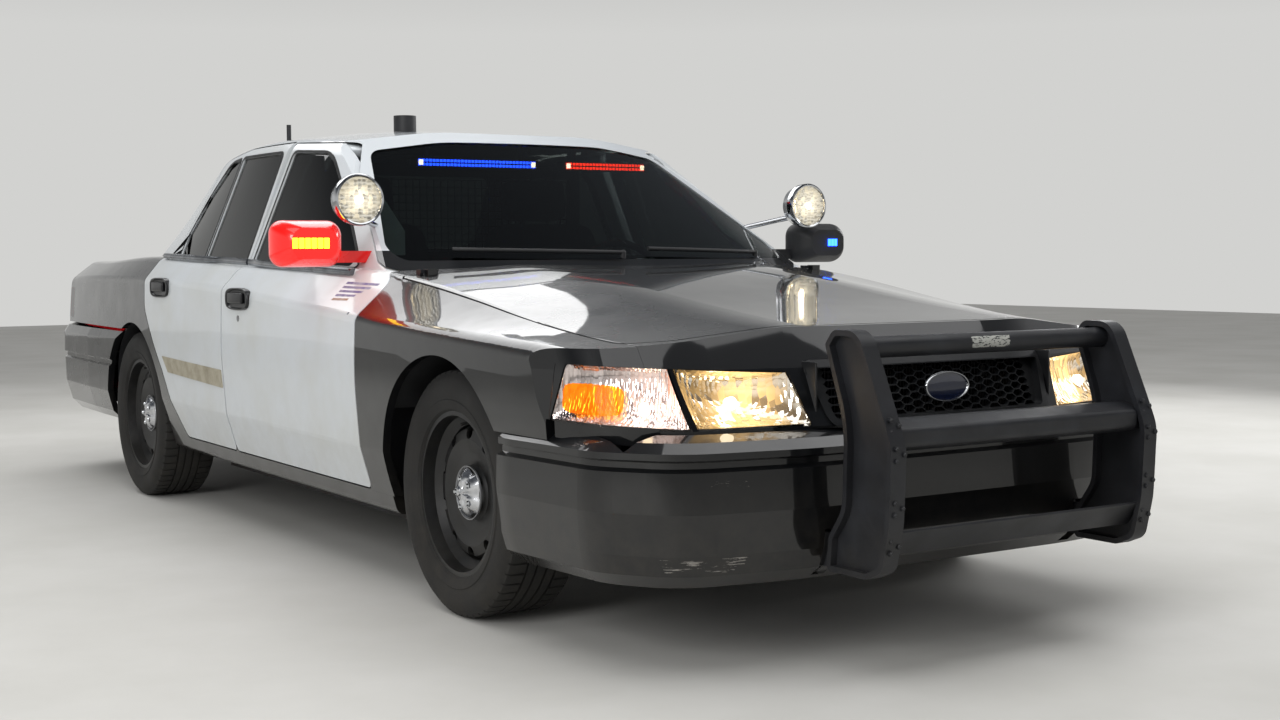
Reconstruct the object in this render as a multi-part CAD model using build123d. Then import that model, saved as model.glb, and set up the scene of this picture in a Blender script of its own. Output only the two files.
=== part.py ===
from build123d import *
import os
from math import cos, pi, radians, sin, sqrt, tan

# A full-size police patrol sedan, in millimetres. It faces -Y, its left side is +X and it stands on z = 0.
# Stations along the car are measured from the front axle, and the last step moves everything
# so that the origin lies under the middle of the car.

# Overall sizes
wheelbase = 2913
front_track = 1610
rear_track = 1666
bumper_rear = 4345            # rearmost point of the rear bumper
bar_front = -1285             # foremost point of the push bar
origin_station = (bar_front + bumper_rear) / 2

# Tyres and rims
tyre_radius = 345
arch_radius = 388
arch_clearance = 14           # liner behind the arch lip
axle_height = tyre_radius

# Sheet and wall thicknesses
skin = 25                     # outer panel with its hem and bracing
door_depth = 110              # whole thickness of a door below the glass
frame_depth = 50              # thickness of a window frame, pillar or roof rail
panel_gap = 6
door_gap = 10
seat = 0.3                    # clearance between pieces that bear on each other
seat_gap = 0.4                # between a pane or lamp and its opening
glass_outer = 5
glass_inner = 10

# Seams
fender_seam = 541
pillar_seam = 1750
sill_top = 292

# Cross-sections of the lower body, from the nose to the tail.
# Columns: station, floor z, sill x, lower crease x z, flank x z, upper crease x z, hood or belt edge x z, crown x z
body_table = [
    (-1100, 235, 850, 915, 430, 930, 590, 918, 715, 760, 735, 400, 790),
    (-560, 235, 885, 940, 430, 962, 620, 955, 778, 795, 797, 430, 853),
    (0, 235, 900, 955, 430, 975, 640, 967, 797, 806, 872, 430, 925),
    (640, 235, 905, 960, 430, 977, 650, 970, 826, 835, 955, 430, 985),
    (1700, 235, 905, 962, 435, 978, 660, 972, 886, 897, 968, 430, 990),
    (2640, 235, 903, 960, 441, 977, 665, 968, 912, 893, 1003, 430, 1020),
    (3300, 235, 895, 950, 450, 968, 670, 955, 915, 862, 1000, 430, 1032),
    (3900, 235, 880, 925, 450, 945, 670, 928, 908, 820, 985, 430, 1020),
    (4400, 235, 860, 890, 450, 905, 670, 890, 890, 770, 960, 400, 1000),
]
body_radii = (30, 60, 1500, 45, 60, 1000)

# Cross-sections of the cabin. Columns: station, base x, roof rail x z, crown x z
cabin_base = 830
cabin_table = [
    (400, 872, 590, 1370, 300, 1420),
    (1000, 907, 622, 1375, 320, 1425),
    (1400, 920, 668, 1408, 330, 1455),
    (1850, 925, 690, 1436, 340, 1481),
    (2350, 925, 682, 1425, 340, 1470),
    (2750, 917, 640, 1385, 320, 1430),
    (3200, 895, 590, 1330, 300, 1380),
]
rail_radius = 90
crown_radius = 1500

# Windshield and rear window: station of the glass at two heights on the centre line, and its sweep at the sides
glass_side = 930
screen_low, screen_high = (126, 820), (1378, 1500)
rear_low, rear_high = (3376, 820), (2437, 1500)
screen_sweep = 363
rear_sweep = 120

# Plan outline of nose and tail, half width: x, y, radius
nose_plan = [(330, -988, 900), (720, -905, 350), (905, -760, 250), (1020, -390, 150)]
tail_plan = [(1020, 3950, 200), (880, 4190, 200), (560, 4245, 400)]
# Height, how far the nose lies back, how far the tail lies forward
nose_levels = [(150, 0, 0), (585, 0, 0), (725, 62, 8), (860, 150, 25), (1100, 320, 110)]

# Bumper covers. Plan: x, y, radius, share of the setback that moves it in and back.
# Levels: height and setback of the face.
bumper_plan = [(480, -1052, 900, 0, 1), (820, -990, 220, 0.4, 1), (955, -800, 200, 0.9, 0.6), (984, -430, 400, 1, 0)]
bumper_levels = [(578, 85), (564, 40), (542, 8), (526, 8), (520, 20), (506, 20), (498, 3), (400, 0),
                 (300, 12), (250, 30), (215, 75)]
rear_bumper_plan = [(560, 4345, 600, 0, 1), (840, 4295, 220, 0.4, 1), (958, 4130, 200, 0.9, 0.6),
                    (978, 3600, 400, 1, 0)]
rear_bumper_levels = [(701.7, 70), (688, 22), (655, 2), (562, 0), (556, 12), (540, 12), (532, 2), (420, 5),
                      (330, 30), (290, 70)]
bumper_wall = 28


def closed_outline(points, radii):
    """Closed outline of straight runs and tangent arcs. A radius shrinks where its runs are too short for it."""
    corners = []
    for i, radius in enumerate(radii):
        before, here, after = (Vector(*points[j % len(points)]) for j in (i - 1, i, i + 1))
        run_in, run_out = here - before, after - here
        half_turn = radians(run_in.get_angle(run_out)) / 2
        cut = min(radius * tan(half_turn), 0.48 * min(run_in.length, run_out.length))
        start, end = here - run_in.normalized() * cut, here + run_out.normalized() * cut
        sag = cut / tan(half_turn) * (1 / cos(half_turn) - 1) if cut else 0
        middle = here + ((start + end) * 0.5 - here).normalized() * sag if cut else here
        corners.append((start, middle, end))
    edges = []
    for i, (start, middle, end) in enumerate(corners):
        if (end - start).length > 1e-6:
            edges.append(ThreePointArc(start, middle, end))
        edges.append(Line(end, corners[(i + 1) % len(corners)][0]))
    return make_face(Curve() + edges)


def slab(x0, x1, y0, y1, z0, z1):
    """A block between two corners."""
    return Pos((x0 + x1) / 2, (y0 + y1) / 2, (z0 + z1) / 2) * Box(x1 - x0, y1 - y0, z1 - z0)


def side_prism(points, radii, x0, x1, grow=0):
    """An outline in the side view, carried across from x0 to x1."""
    face = closed_outline(points, radii)
    if grow:
        face = offset(face, grow)
    return extrude(Plane.YZ.offset(x0) * face, x1 - x0)


def front_prism(points, radii, y0, y1, grow=0):
    """An outline in the front view, carried back from y0 to y1."""
    face = closed_outline(points, radii)
    if grow:
        face = offset(face, grow)
    return extrude(Plane.XZ.offset(-y0) * face, -(y1 - y0))


def plan_prism(points, radii, z0, z1, grow=0):
    """An outline in plan, carried up from z0 to z1."""
    face = closed_outline(points, radii)
    if grow:
        face = offset(face, grow)
    return extrude(Plane.XY.offset(z0) * face, z1 - z0)


def mirrored(shape):
    return mirror(shape, about=Plane.YZ)


def whole(half):
    """One solid out of a left half and its mirror image."""
    return solid_of(half + mirrored(half))


def solid_of(shape):
    """The largest solid of a cut, without crumbs."""
    return max(shape.solids(), key=lambda s: s.volume)


def body_loft(inset):
    """The left half of the lower body."""
    sections = []
    for y, floor, sill_x, low_x, low_z, flank_x, flank_z, crease_x, crease_z, edge_x, edge_z, crown_x, crown_z \
            in body_table:
        half = [
            (0, floor + inset),
            (sill_x - inset, floor + inset),
            (low_x - inset, low_z),
            (flank_x - inset, flank_z),
            (crease_x - inset, crease_z - 0.6 * inset),
            (edge_x - inset, edge_z - inset),
            (crown_x - 0.3 * inset, crown_z - inset),
            (0, crown_z - inset),
        ]
        sections.append(Plane.XZ.offset(-y) * closed_outline(half, (0,) + body_radii + (0,)))
    return loft(sections)


def half_plan(half):
    """A face in plan from the centre line out to the given corners: x, y, radius."""
    points = [(0, half[0][1])] + [(x, y) for x, y, r in half] + [(0, half[-1][1])]
    return closed_outline(points, [0] + [r for x, y, r in half] + [0])


def nose_stack(inset):
    """The left half of the nose and tail outline, stacked up."""
    sections = []
    for z, front_back, tail_forward in nose_levels:
        half = [(x, y + front_back + inset, r) for x, y, r in nose_plan]
        half += [(x, y - tail_forward - inset, r) for x, y, r in tail_plan]
        sections.append(Plane.XY.offset(z) * half_plan(half))
    return loft(sections, ruled=True)


def cabin_loft(inset):
    """The left half of the cabin."""
    sections = []
    for y, base_x, rail_x, rail_z, crown_x, crown_z in cabin_table:
        half = [(0, cabin_base), (base_x - inset, cabin_base), (rail_x - inset, rail_z - inset),
                (crown_x, crown_z - inset), (0, crown_z - inset)]
        sections.append(Plane.XZ.offset(-y) * closed_outline(half, [0, 0, rail_radius, crown_radius, 0]))
    return loft(sections)


def glass_loft(inset):
    """The solid between windshield and rear window, both curved in plan."""
    front_shift = inset / sin(radians(28.5))
    rear_shift = inset / sin(radians(34.6))
    sections = []
    for x in (-glass_side, 0, glass_side):
        front = screen_sweep * (x / glass_side) ** 2 + front_shift
        rear = rear_sweep * (x / glass_side) ** 2 + rear_shift
        points = [
            (screen_low[0] + front, screen_low[1]),
            (screen_high[0] + front, screen_high[1]),
            (rear_high[0] - rear, rear_high[1]),
            (rear_low[0] - rear, rear_low[1]),
        ]
        sections.append(Plane.YZ.offset(x) * make_face(Polyline(*points, close=True)))
    return loft(sections)


def cabin(inset):
    upper = cabin_loft(inset) & glass_loft(inset)
    return upper


def lower(inset):
    return body_loft(inset) & nose_stack(inset)


def bumper_stack(plan, levels, back_end, inset):
    """The left half of a bumper cover: its face outline at each height, closed straight across at back_end."""
    sections = []
    toward = 1 if back_end > plan[0][1] else -1
    side = plan[-1][0]
    for z, back in levels:
        shift = back + inset
        half = [(x - shift * x_share, y + toward * shift * y_share, r) for x, y, r, x_share, y_share in plan]
        half.append((side - shift, back_end, 0))
        sections.append(Plane.XY.offset(z) * half_plan(half))
    return loft(sections, ruled=True)


def cross_rod(radius, x0, x1, y, z):
    """A round bar across the car."""
    return Pos((x0 + x1) / 2, y, z) * (Rot(0, 90, 0) * Cylinder(radius, abs(x1 - x0)))


def bar_between(start, end, radius):
    """A round bar from one point to another."""
    path = Line(start, end)
    return sweep(Plane(origin=start, z_dir=path % 0) * Circle(radius), path)


# Left half of the whole form: outside, inside of the outer panels, inside of the doors
lower_skin = lower(skin)
cabin_skin = cabin(skin - 3)
whole_outer = lower(0) + cabin(0)
whole_skin = lower_skin + cabin_skin
depth_low = door_depth - skin
depth_high = frame_depth - skin
whole_door = Pos(-depth_low, 0, -0.25 * depth_low) * lower_skin + Pos(-depth_high, 0, -depth_high) * cabin_skin
inner_form = Pos(-seat, 0, -seat) * whole_skin
outer_layer = whole_outer - whole_skin
door_layer = whole_outer - whole_door
lamp_depth = 60

# Outlines of the openings in the side view: y, z and radius of each corner
front_door_outline = [(546, 300), (546, 930), (746, 985), (1349, 1400), (1745, 1420), (1745, 300)]
front_door_radii = [20, 40, 60, 70, 12, 20]
rear_door_outline = [(1755, 300), (2325, 300), (2500, 560), (2712, 800), (2722, 1092), (2510, 1392),
                     (2200, 1424), (1755, 1424)]
rear_door_radii = [20, 40, 300, 90, 150, 120, 300, 12]
front_window_outline = [(858, 972), (1392, 1366), (1700, 1384), (1710, 986)]
front_window_radii = [22, 50, 18, 14]
rear_window_outline = [(1790, 988), (1800, 1386), (2234, 1388), (2250, 1000)]
rear_window_radii = [14, 18, 10, 10]
quarter_window_outline = [(2284, 1002), (2266, 1386), (2400, 1376), (2575, 1240), (2666, 1085), (2655, 1014)]
quarter_window_radii = [10, 10, 40, 60, 60, 20]

# Outlines in plan and in the front view
hood_outline = [(330, -843), (700, -765), (797, -690), (807, 0), (828, 520), (560, 430), (250, 385)]
hood_radii = [600, 90, 90, 3000, 20, 300, 400]
lid_outline = [(420, 3120), (770, 3080), (812, 3160), (800, 3900), (770, 4400)]
lid_radii = [800, 60, 60, 600, 1]
lid_face = [(552, 708), (575, 905), (740, 930), (770, 1100)]
screen_opening = [(790, 990), (588, 1372), (330, 1408)]
screen_radii = [40, 70, 800]
rear_opening = [(690, 1040), (560, 1352), (300, 1392)]
rear_opening_radii = [60, 80, 800]
lamp_outline = [(423, 585), (452, 716), (752, 730), (990, 742), (990, 600), (718, 582)]
lamp_radii = [10, 14, 400, 2, 2, 500]
tail_lamp_outline = [(585, 725), (600, 868), (1000, 868), (1000, 725)]
grille_outline = [(372, 578), (414, 742)]


def full_outline(half):
    return [(x, y) for x, y in half] + [(-x, y) for x, y in reversed(half)]


def full_radii(radii):
    return list(radii) + list(reversed(radii))


hood_zone = plan_prism(full_outline(hood_outline), full_radii(hood_radii), 600, 1300)
hood_hole = plan_prism(full_outline(hood_outline), full_radii(hood_radii), 600, 1300, panel_gap)
lid_zone = plan_prism(full_outline(lid_outline), full_radii(lid_radii), 874, 1300) \
    + front_prism(full_outline(lid_face), [10, 10, 20, 10, 10, 20, 10, 10], 4000, 4400)
lid_hole = plan_prism(full_outline(lid_outline), full_radii(lid_radii), 868, 1300, panel_gap) \
    + front_prism(full_outline(lid_face), [10, 10, 20, 10, 10, 20, 10, 10], 4000, 4400, panel_gap)


def wheel_cylinder(y, radius, x0, x1):
    return cross_rod(radius, x0, x1, y, axle_height)


def both(shape):
    return [shape, mirrored(shape)]


def merged(pieces):
    """One solid out of pieces that touch or overlap."""
    return solid_of(Part() + pieces)


# Doors of full depth, with windows cut and two notches at the inner front edge for the hinge arms
hinge_x = 958
front_hinge_y = 615
rear_hinge_y = 1825
hinge_heights = (570, 780)
pin_radius = 6
pin_length = 100
notch_outer = 966
notch_half = 30


def hinge_pin(y, z, radius, length):
    return Pos(hinge_x, y, z) * Cylinder(radius, length)


# Where a door shuts behind, its rim is thin enough to swing out past the pillar, and its frame stands further off
rim_depth = 24
rim_form = Pos(-rim_depth, 0, 0) * whole_outer
front_door_shut = [(1729, 1430), (1745, 1000), (1760, 1000), (1760, 1430)]
rear_door_lead = [(1740, 1000), (1755, 1000), (1771, 1430), (1740, 1430)]
square_corners = [0, 0, 0, 0]


def rear_rim(outline, radii, reach):
    """The inner part of a door's rear rim, as far forward as its swing needs."""
    band = side_prism(outline, radii, 500, 1100, 1) - Pos(0, -reach, 0) * side_prism(outline, radii, 490, 1110, 1)
    return rim_form & band


def door_piece(outline, radii, windows, hinge_y, pillar_edge, rim_reach):
    zone = side_prism(outline, radii, 640, 1100) - slab(600, 770, 400, 880, 200, 1005)
    zone = zone - side_prism(pillar_edge, square_corners, 600, 1110)
    cuts = [side_prism(points, corner_radii, 400, 1100) for points, corner_radii in windows]
    for z in hinge_heights:
        cuts.append(slab(800, notch_outer, hinge_y - 90, hinge_y + 26, z - notch_half, z + notch_half))
        cuts.append(hinge_pin(hinge_y, z, pin_radius + seat, pin_length + 10))
    return solid_of((door_layer & zone) - cuts - rear_rim(outline, radii, rim_reach))


def hinge_leaves(hinge_y, back_y):
    """Fixed arms that reach into the notches of a door, each with its pin."""
    leaves = []
    for z in hinge_heights:
        leaves += [slab(812, 836, back_y, hinge_y + 8, z - 25, z + 25),
                   slab(812, hinge_x, hinge_y - 8, hinge_y + 8, z - 12, z + 12),
                   hinge_pin(hinge_y, z, pin_radius, pin_length)]
    return leaves


def panes(windows):
    band = glass_band & slab(300, 1100, 600, 3000, 900, 1500)
    return Compound([solid_of(band & side_prism(points, corner_radii, 400, 1100, -seat_gap))
                     for points, corner_radii in windows])


front_windows = [(front_window_outline, front_window_radii)]
rear_windows = [(rear_window_outline, rear_window_radii), (quarter_window_outline, quarter_window_radii)]
glass_band = cabin(glass_outer) - cabin(glass_inner)
front_door = door_piece(front_door_outline, front_door_radii, front_windows, front_hinge_y, front_door_shut, 34)
rear_door = door_piece(rear_door_outline, rear_door_radii, rear_windows, rear_hinge_y, rear_door_lead, 60)
front_glass = panes(front_windows)
rear_glass = panes(rear_windows)

windshield = whole(glass_band & front_prism(full_outline(screen_opening), full_radii(screen_radii), 250, 1600,
                                            -seat_gap))
rear_window = whole(glass_band & front_prism(full_outline(rear_opening), full_radii(rear_opening_radii), 2300,
                                             3250, -seat_gap))

# Welded body skin: roof, window pillars, quarters, rockers, floor and cowl
rear_well = wheel_cylinder(wheelbase, arch_radius, 600, 1100)
tail_lamp_zone = front_prism(tail_lamp_outline, [12, 12, 1, 1], 4000, 4400)
lamp_zone = front_prism(lamp_outline, lamp_radii, -1100, -600)
shell_skin = outer_layer - [slab(-10, 1100, -1200, 300, 200, 1300), slab(-10, 1100, 299, fender_seam, 292, 870),
                            slab(822, 1100, 299, fender_seam, 869, 1300), slab(-10, 780, 299, fender_seam, 200, 293),
                            slab(-10, 1100, 299, 396, 200, 293)]
shell_skin = shell_skin - [slab(-10, 1100, 3066, 4500, 200, 702), slab(-10, 700, 2480, 3070, 200, 300),
                           slab(-10, 100, 400, 2490, 200, 300)]
for opening_cut in (
    side_prism(front_door_outline, front_door_radii, 500, 1100, door_gap / 2),
    side_prism(rear_door_outline, rear_door_radii, 500, 1100, door_gap / 2),
    rear_well,
    tail_lamp_zone,
    hood_hole,
    lid_hole,
    front_prism(full_outline(screen_opening), full_radii(screen_radii), 250, 1600),
    front_prism(full_outline(rear_opening), full_radii(rear_opening_radii), 2300, 3250),
):
    shell_skin = shell_skin - opening_cut
body_shell = whole(shell_skin)

# Door pillars with the hinge leaves
centre_pillar = (Pos(-16, 0, -16) * whole_door & slab(560, 838, pillar_seam - 26, pillar_seam + 26, 260.3, 1400)) \
    + (inner_form & slab(560, 622, pillar_seam - 26, pillar_seam + 26, 1340, 1460))
centre_pillar = centre_pillar - Pos(-60, 0, -60) * whole_door
centre_pillar = solid_of(Part() + [centre_pillar] + hinge_leaves(rear_hinge_y, pillar_seam))

# Firewall with the hinge pillars at its ends
firewall = (inner_form & (Part() + [slab(0, 1000, 505, fender_seam - 8, 293, 1000),
                                    slab(0, 861, 505, fender_seam - 8, 260.3, 294),
                                    slab(780, 1000, 440, fender_seam - 8, 293, 900),
                                    slab(0, 860, 505, 640, 260.3, 275)])) \
    - Pos(0, 520, 300) * (Rot(90, 0, 0) * Cylinder(105, 300)) - slab(785, 840, 500, 520, 885, 965)
firewall = whole(Part() + [firewall] + hinge_leaves(front_hinge_y, 520))

# Floor pan: tunnel, seat riser, hump over the axle, trunk floor, seat wall and rear shelf
kick_up = 560
well_inner = 630.3
rear_floor = 400
floor_wall = 15
floor_parts = [
    slab(0, 112, 641, 2500, 260.3, 402) - slab(-10, 100, 400, 2510, 200, 390),
    slab(0, 700, 2480, 2500, 260.3, kick_up + floor_wall) - slab(-10, 100, 2400, 2510, 200, 390),
    slab(0, 630, 2490, 3330, kick_up, kick_up + floor_wall),
    slab(0, 630, 3315, 3330, rear_floor, kick_up + floor_wall),
    slab(0, 880, 3315, 4205, rear_floor, rear_floor + floor_wall),
    slab(0, 630, 2740, 2755, kick_up, 950),
    slab(0, 1000, 2740, 3060, 940, 955),
]
floor_pan = whole(inner_form & (Part() + floor_parts))
liner_block = (wheel_cylinder(wheelbase, arch_radius + 8, well_inner, 990) - wheel_cylinder(wheelbase, arch_radius, well_inner + 6, 1100)) \
    & slab(0, 1000, 2400, 3400, 402, 800)
rear_liner = solid_of(inner_form & liner_block)

# Bolt-on panels
outside = Pos(0, 0, seat) * whole_outer
barrel_radius = 6.5


def lid_hinge(x, y, z, toward_body):
    """A barrel hinge on the outer surface: the two feet with the pin, and the knuckle on the lid."""
    feet = [cross_rod(4, x - 28, x + 28, y, z)]
    for foot_x in (x - 24, x + 24):
        low, high = sorted((y - 5 * toward_body, y + 26 * toward_body))
        under_lid = slab(foot_x - 7, foot_x + 7, y - 6, y + 6, z - 35, z - 5.5) & slab(
            foot_x - 7, foot_x + 7, *sorted((y - 6 * toward_body, y + toward_body)), z - 35, z)
        feet.append(slab(foot_x - 6, foot_x + 6, low, high, z - 34, z + 5) - under_lid)
    low, high = sorted((y, y - 26 * toward_body))
    knuckle = cross_rod(barrel_radius, x - 16, x + 16, y, z) + slab(x - 16, x + 16, low, high, z - 34, z + barrel_radius)
    return solid_of(Part() + feet - outside), solid_of(knuckle - [outside, cross_rod(4 + seat, x - 30, x + 30, y, z)])


hood_hinge = (745, 495, 958)
lid_hinge_place = (690, 3086, 1025)
hood_feet, hood_knuckle = lid_hinge(*hood_hinge, 1)
lid_feet, lid_knuckle = lid_hinge(*lid_hinge_place, -1)
hood = Compound([whole(outer_layer & hood_zone)] + both(hood_knuckle))
trunk_lid = Compound([whole(outer_layer & lid_zone)] + both(lid_knuckle))
header_side = 790
lamp_hole = front_prism(lamp_outline, lamp_radii, -1100, -600, seat_gap)
front_well = wheel_cylinder(0, arch_radius, 480, 1100)
bumper_step = 550
fender_block = slab(0, 1100, -1200, fender_seam, sill_top + 0.3, 1300) \
    - slab(0, header_side + 0.5, -1300, -500, 0, 1400) - slab(0, 1200, -1300, 0, 0, bumper_step + 2) \
    - slab(0, 1200, -1300, -591.5, 0, 604)
left_fender = solid_of((outer_layer & fender_block) - [hood_hole, slab(0, 823, 300, fender_seam, 870, 1300), front_well,
                                                       lamp_hole])
grille_frame_radii = [40, 26]
grille_zone = front_prism(full_outline(grille_outline), full_radii(grille_frame_radii), -1200, -700)
grille_hole = front_prism(full_outline(grille_outline), full_radii(grille_frame_radii), -1200, -700, seat_gap)
header_panel = whole((outer_layer & slab(0, header_side, -1100, -600, 578.4, 900))
                     - [hood_hole, lamp_hole, grille_hole])
left_headlamp = solid_of((whole_outer & lamp_zone) - Pos(-lamp_depth, lamp_depth, 0) * lower_skin)
tail_lamp = solid_of((whole_outer & front_prism(tail_lamp_outline, [12, 12, 1, 1], 4000, 4400, -seat_gap))
                     - Pos(-lamp_depth, -lamp_depth, 0) * lower_skin)

# Grille: a raised frame round a honeycomb that follows the nose
cell_width, cell_height = 40, 17
cell_pitch_x, cell_pitch_z = 33, 20
frame_width = 20
grille_middle = (grille_outline[0][1] + grille_outline[1][1]) / 2
opening = front_prism(full_outline(grille_outline), full_radii(grille_frame_radii), -1300, -600, -frame_width)
cell = make_face(Polyline((-cell_width / 2, 0), (-cell_width / 4, cell_height / 2), (cell_width / 4, cell_height / 2),
                          (cell_width / 2, 0), (cell_width / 4, -cell_height / 2), (-cell_width / 4, -cell_height / 2),
                          close=True))
cells = []
for column in range(11):
    for row in range(-3, 4):
        x = column * cell_pitch_x
        z = grille_middle + (row + 0.5 * (column % 2)) * cell_pitch_z
        if x < 352 and abs(z - grille_middle) < 62:
            cells.append(extrude(Plane.XZ.offset(1300) * (Pos(x, z) * cell), -700))
grille_ring = (nose_stack(-6) & grille_zone) - [nose_stack(32), opening]
grille_mesh = ((nose_stack(20) & opening) - nose_stack(32)) - cells
grille = whole(grille_ring + grille_mesh)

# Bumpers
front_face = bumper_stack(bumper_plan, bumper_levels, -380, 0)
front_hollow = bumper_stack(bumper_plan, [(z - 24 if z == 578 else z, back) for z, back in bumper_levels]
                            + [(150, 90)], -300, bumper_wall)
front_bumper = front_face - front_hollow
for cut in (slab(-10, 1100, -592, -300, bumper_step, 700), slab(-10, 900, -860, -300, 540, 700), front_well,
            slab(405, 445, -1100, -860, 225, 345)):
    front_bumper = front_bumper - cut
front_bumper = whole(front_bumper)
rear_face = bumper_stack(rear_bumper_plan, rear_bumper_levels, 3050, 0)
rear_hollow = bumper_stack(rear_bumper_plan, [(z - 24 if z == rear_bumper_levels[0][0] else z, back) for z, back in rear_bumper_levels]
                           + [(200, 80)], 2950, bumper_wall)
rear_bumper = rear_face - rear_hollow
for cut in (slab(-10, 900, 3000, 4190, 660, 720), rear_well, wheel_cylinder(wheelbase, arch_radius + 9, 600, 948)):
    rear_bumper = rear_bumper - cut
rear_bumper = whole(rear_bumper)

# Push bar: two uprights with a rolled rim, a top tube, a wide channel, a lower plate and frame brackets
upright_x = 425
upright_width = 46
upright_web = 8
rim_width_bar = 14
upright_outline = [(-1046, 790), (-1075, 825), (-1165, 825), (-1250, 640), (-1285, 560), (-1276, 380), (-1252, 270),
                   (-1195, 246), (-1052, 246), (-1060, 330), (-1110, 400), (-1118, 600)]
upright_radii = [14, 32, 60, 200, 120, 200, 40, 30, 12, 30, 80, 300]
upright = side_prism(upright_outline, upright_radii, upright_x - upright_width / 2, upright_x + upright_width / 2)
pocket = side_prism(upright_outline, upright_radii, upright_x + upright_web / 2, upright_x + upright_width,
                    -rim_width_bar)
pocket_in = side_prism(upright_outline, upright_radii, upright_x - upright_width, upright_x - upright_web / 2,
                       -rim_width_bar)
upright = upright - [pocket, pocket_in]
bar_span = upright_x - upright_web / 2
channel = side_prism([(-1200, 618), (-1262, 600), (-1262, 556), (-1200, 540), (-1130, 560), (-1130, 612)],
                     [8, 16, 16, 8, 8, 8], -bar_span - 1, bar_span + 1) \
    - both(slab(397, 440, -1300, -1249, 500, 660))
lower_plate = side_prism([(-1215, 300), (-1262, 360), (-1258, 366), (-1205, 308), (-1080, 308), (-1080, 300)],
                         [6, 2, 2, 6, 2, 2], -bar_span - 1, bar_span + 1)
bracket = slab(bar_span, bar_span + upright_web, -1100, -900.3, 250, 335)
push_bar = merged(both(upright) + [cross_rod(26, -bar_span - 1, bar_span + 1, -1118, 782), channel, lower_plate]
                  + both(bracket))

# Wheels. The axis runs along X and +x points to the outside of the car.
rim_profile = [(-102, 222), (-102, 234), (-96, 234), (-94, 226), (-72, 222), (-58, 202), (-20, 196), (34, 198),
               (62, 222), (86, 222), (94, 226), (96, 234), (102, 234), (102, 218), (66, 214), (46, 190), (-20, 188),
               (-64, 194), (-80, 215), (-96, 216)]
disc_profile = [(28, 191), (58, 176), (64, 150), (52, 112), (44, 78), (56, 62), (66, 40), (72, 0), (40, 0), (40, 28.3),
                (-25, 28.3), (-25, 62), (36, 62), (36, 74), (44, 112), (56, 150), (50, 172), (24, 186)]
tyre_profile = [(-93.5, 226.6), (-93.5, 235.5), (-106, 241), (-117, 256), (-120.5, 286), (-113, 318), (-92, 338), (-60, 345), (60, 345),
                (92, 338), (113, 318), (120.5, 286), (117, 256), (106, 241), (93.5, 235.5), (93.5, 226.6), (74, 226.6), (92, 250), (108, 285),
                (100, 312), (82, 325), (55, 330), (-55, 330), (-82, 325), (-100, 312), (-108, 285), (-92, 250),
                (-74, 226.6)]
hole_count = 10
hole_circle = 168
hole_radius = 17


def turned(outline):
    """A ring from its section, turned about the wheel axis."""
    return Rot(90, 0, 0) * revolve(Plane.XZ * (Rot(0, 0, 0) * outline), Axis.X)


tyre = turned(make_face(Polyline(*tyre_profile, close=True)))
rim = turned(make_face(Polyline(*rim_profile, close=True)))
disc = turned(make_face(Polyline(*disc_profile, close=True)))
hand_holes = [Rot(360 / hole_count * i, 0, 0) * cross_rod(hole_radius, 0, 90, 0, hole_circle)
              for i in range(hole_count)]
wheel = merged([rim, disc - hand_holes])

wheel_places = {
    "front_left": (front_track / 2, 0, 1),
    "front_right": (-front_track / 2, 0, -1),
    "rear_left": (rear_track / 2, wheelbase, 1),
    "rear_right": (-rear_track / 2, wheelbase, -1),
}
spindle_radius = 28
steer_x = 790

# Front knuckle, turning about a vertical line through its two ball joints
knuckle = merged([
    slab(steer_x - 45, steer_x - 22, -42, 42, 240, 470),
    slab(steer_x - 45, steer_x + 14, -24, 24, 216, 262),
    slab(steer_x - 45, steer_x + 14, -24, 24, 452, 497),
    slab(steer_x - 60, steer_x - 26, 60, 120, 270, 420),
    slab(steer_x - 45, steer_x - 26, 30, 80, 300, 390),
    cross_rod(62, steer_x - 45, front_track / 2 - 26, 0, axle_height),
    cross_rod(spindle_radius, steer_x - 45, front_track / 2 + 30, 0, axle_height),
])
lower_arms = merged([slab(-480, 480, -105, 105, 182, 249.7)]
                    + both(slab(470, steer_x, -34, 34, 182, 208))
                    + both(slab(470, 560, -105, 105, 182, 208))
                    + both(Pos(steer_x, 0, 198.85) * Cylinder(26, 33.7)))
upper_arm = merged([slab(420, 520, -85, 85, 340.3, 522), slab(470, steer_x, -28, 28, 504, 522),
                    Pos(steer_x, 0, 509.65) * Cylinder(24, 24.7)])
front_suspension = Compound([lower_arms] + both(upper_arm))

rear_hub = rear_track / 2
axle_housing = cross_rod(128, -70, 70, wheelbase, axle_height)
pinion_nose = Pos(0, wheelbase - 130, axle_height) * (Rot(90, 0, 0) * Cylinder(58, 90))
rear_axle = merged([cross_rod(40, -rear_hub + 60, rear_hub - 60, wheelbase, axle_height),
                    cross_rod(spindle_radius, -rear_hub - 30, rear_hub + 30, wheelbase, axle_height),
                    axle_housing, pinion_nose]
                   + both(cross_rod(150, rear_hub - 100, rear_hub - 88, wheelbase, axle_height))
                   + both(Pos(505, wheelbase, (axle_height + 439.7) / 2) * Cylinder(52, 439.7 - axle_height))
                   + both(slab(540.3, 572, 2530, wheelbase, 318, 350)))

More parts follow.
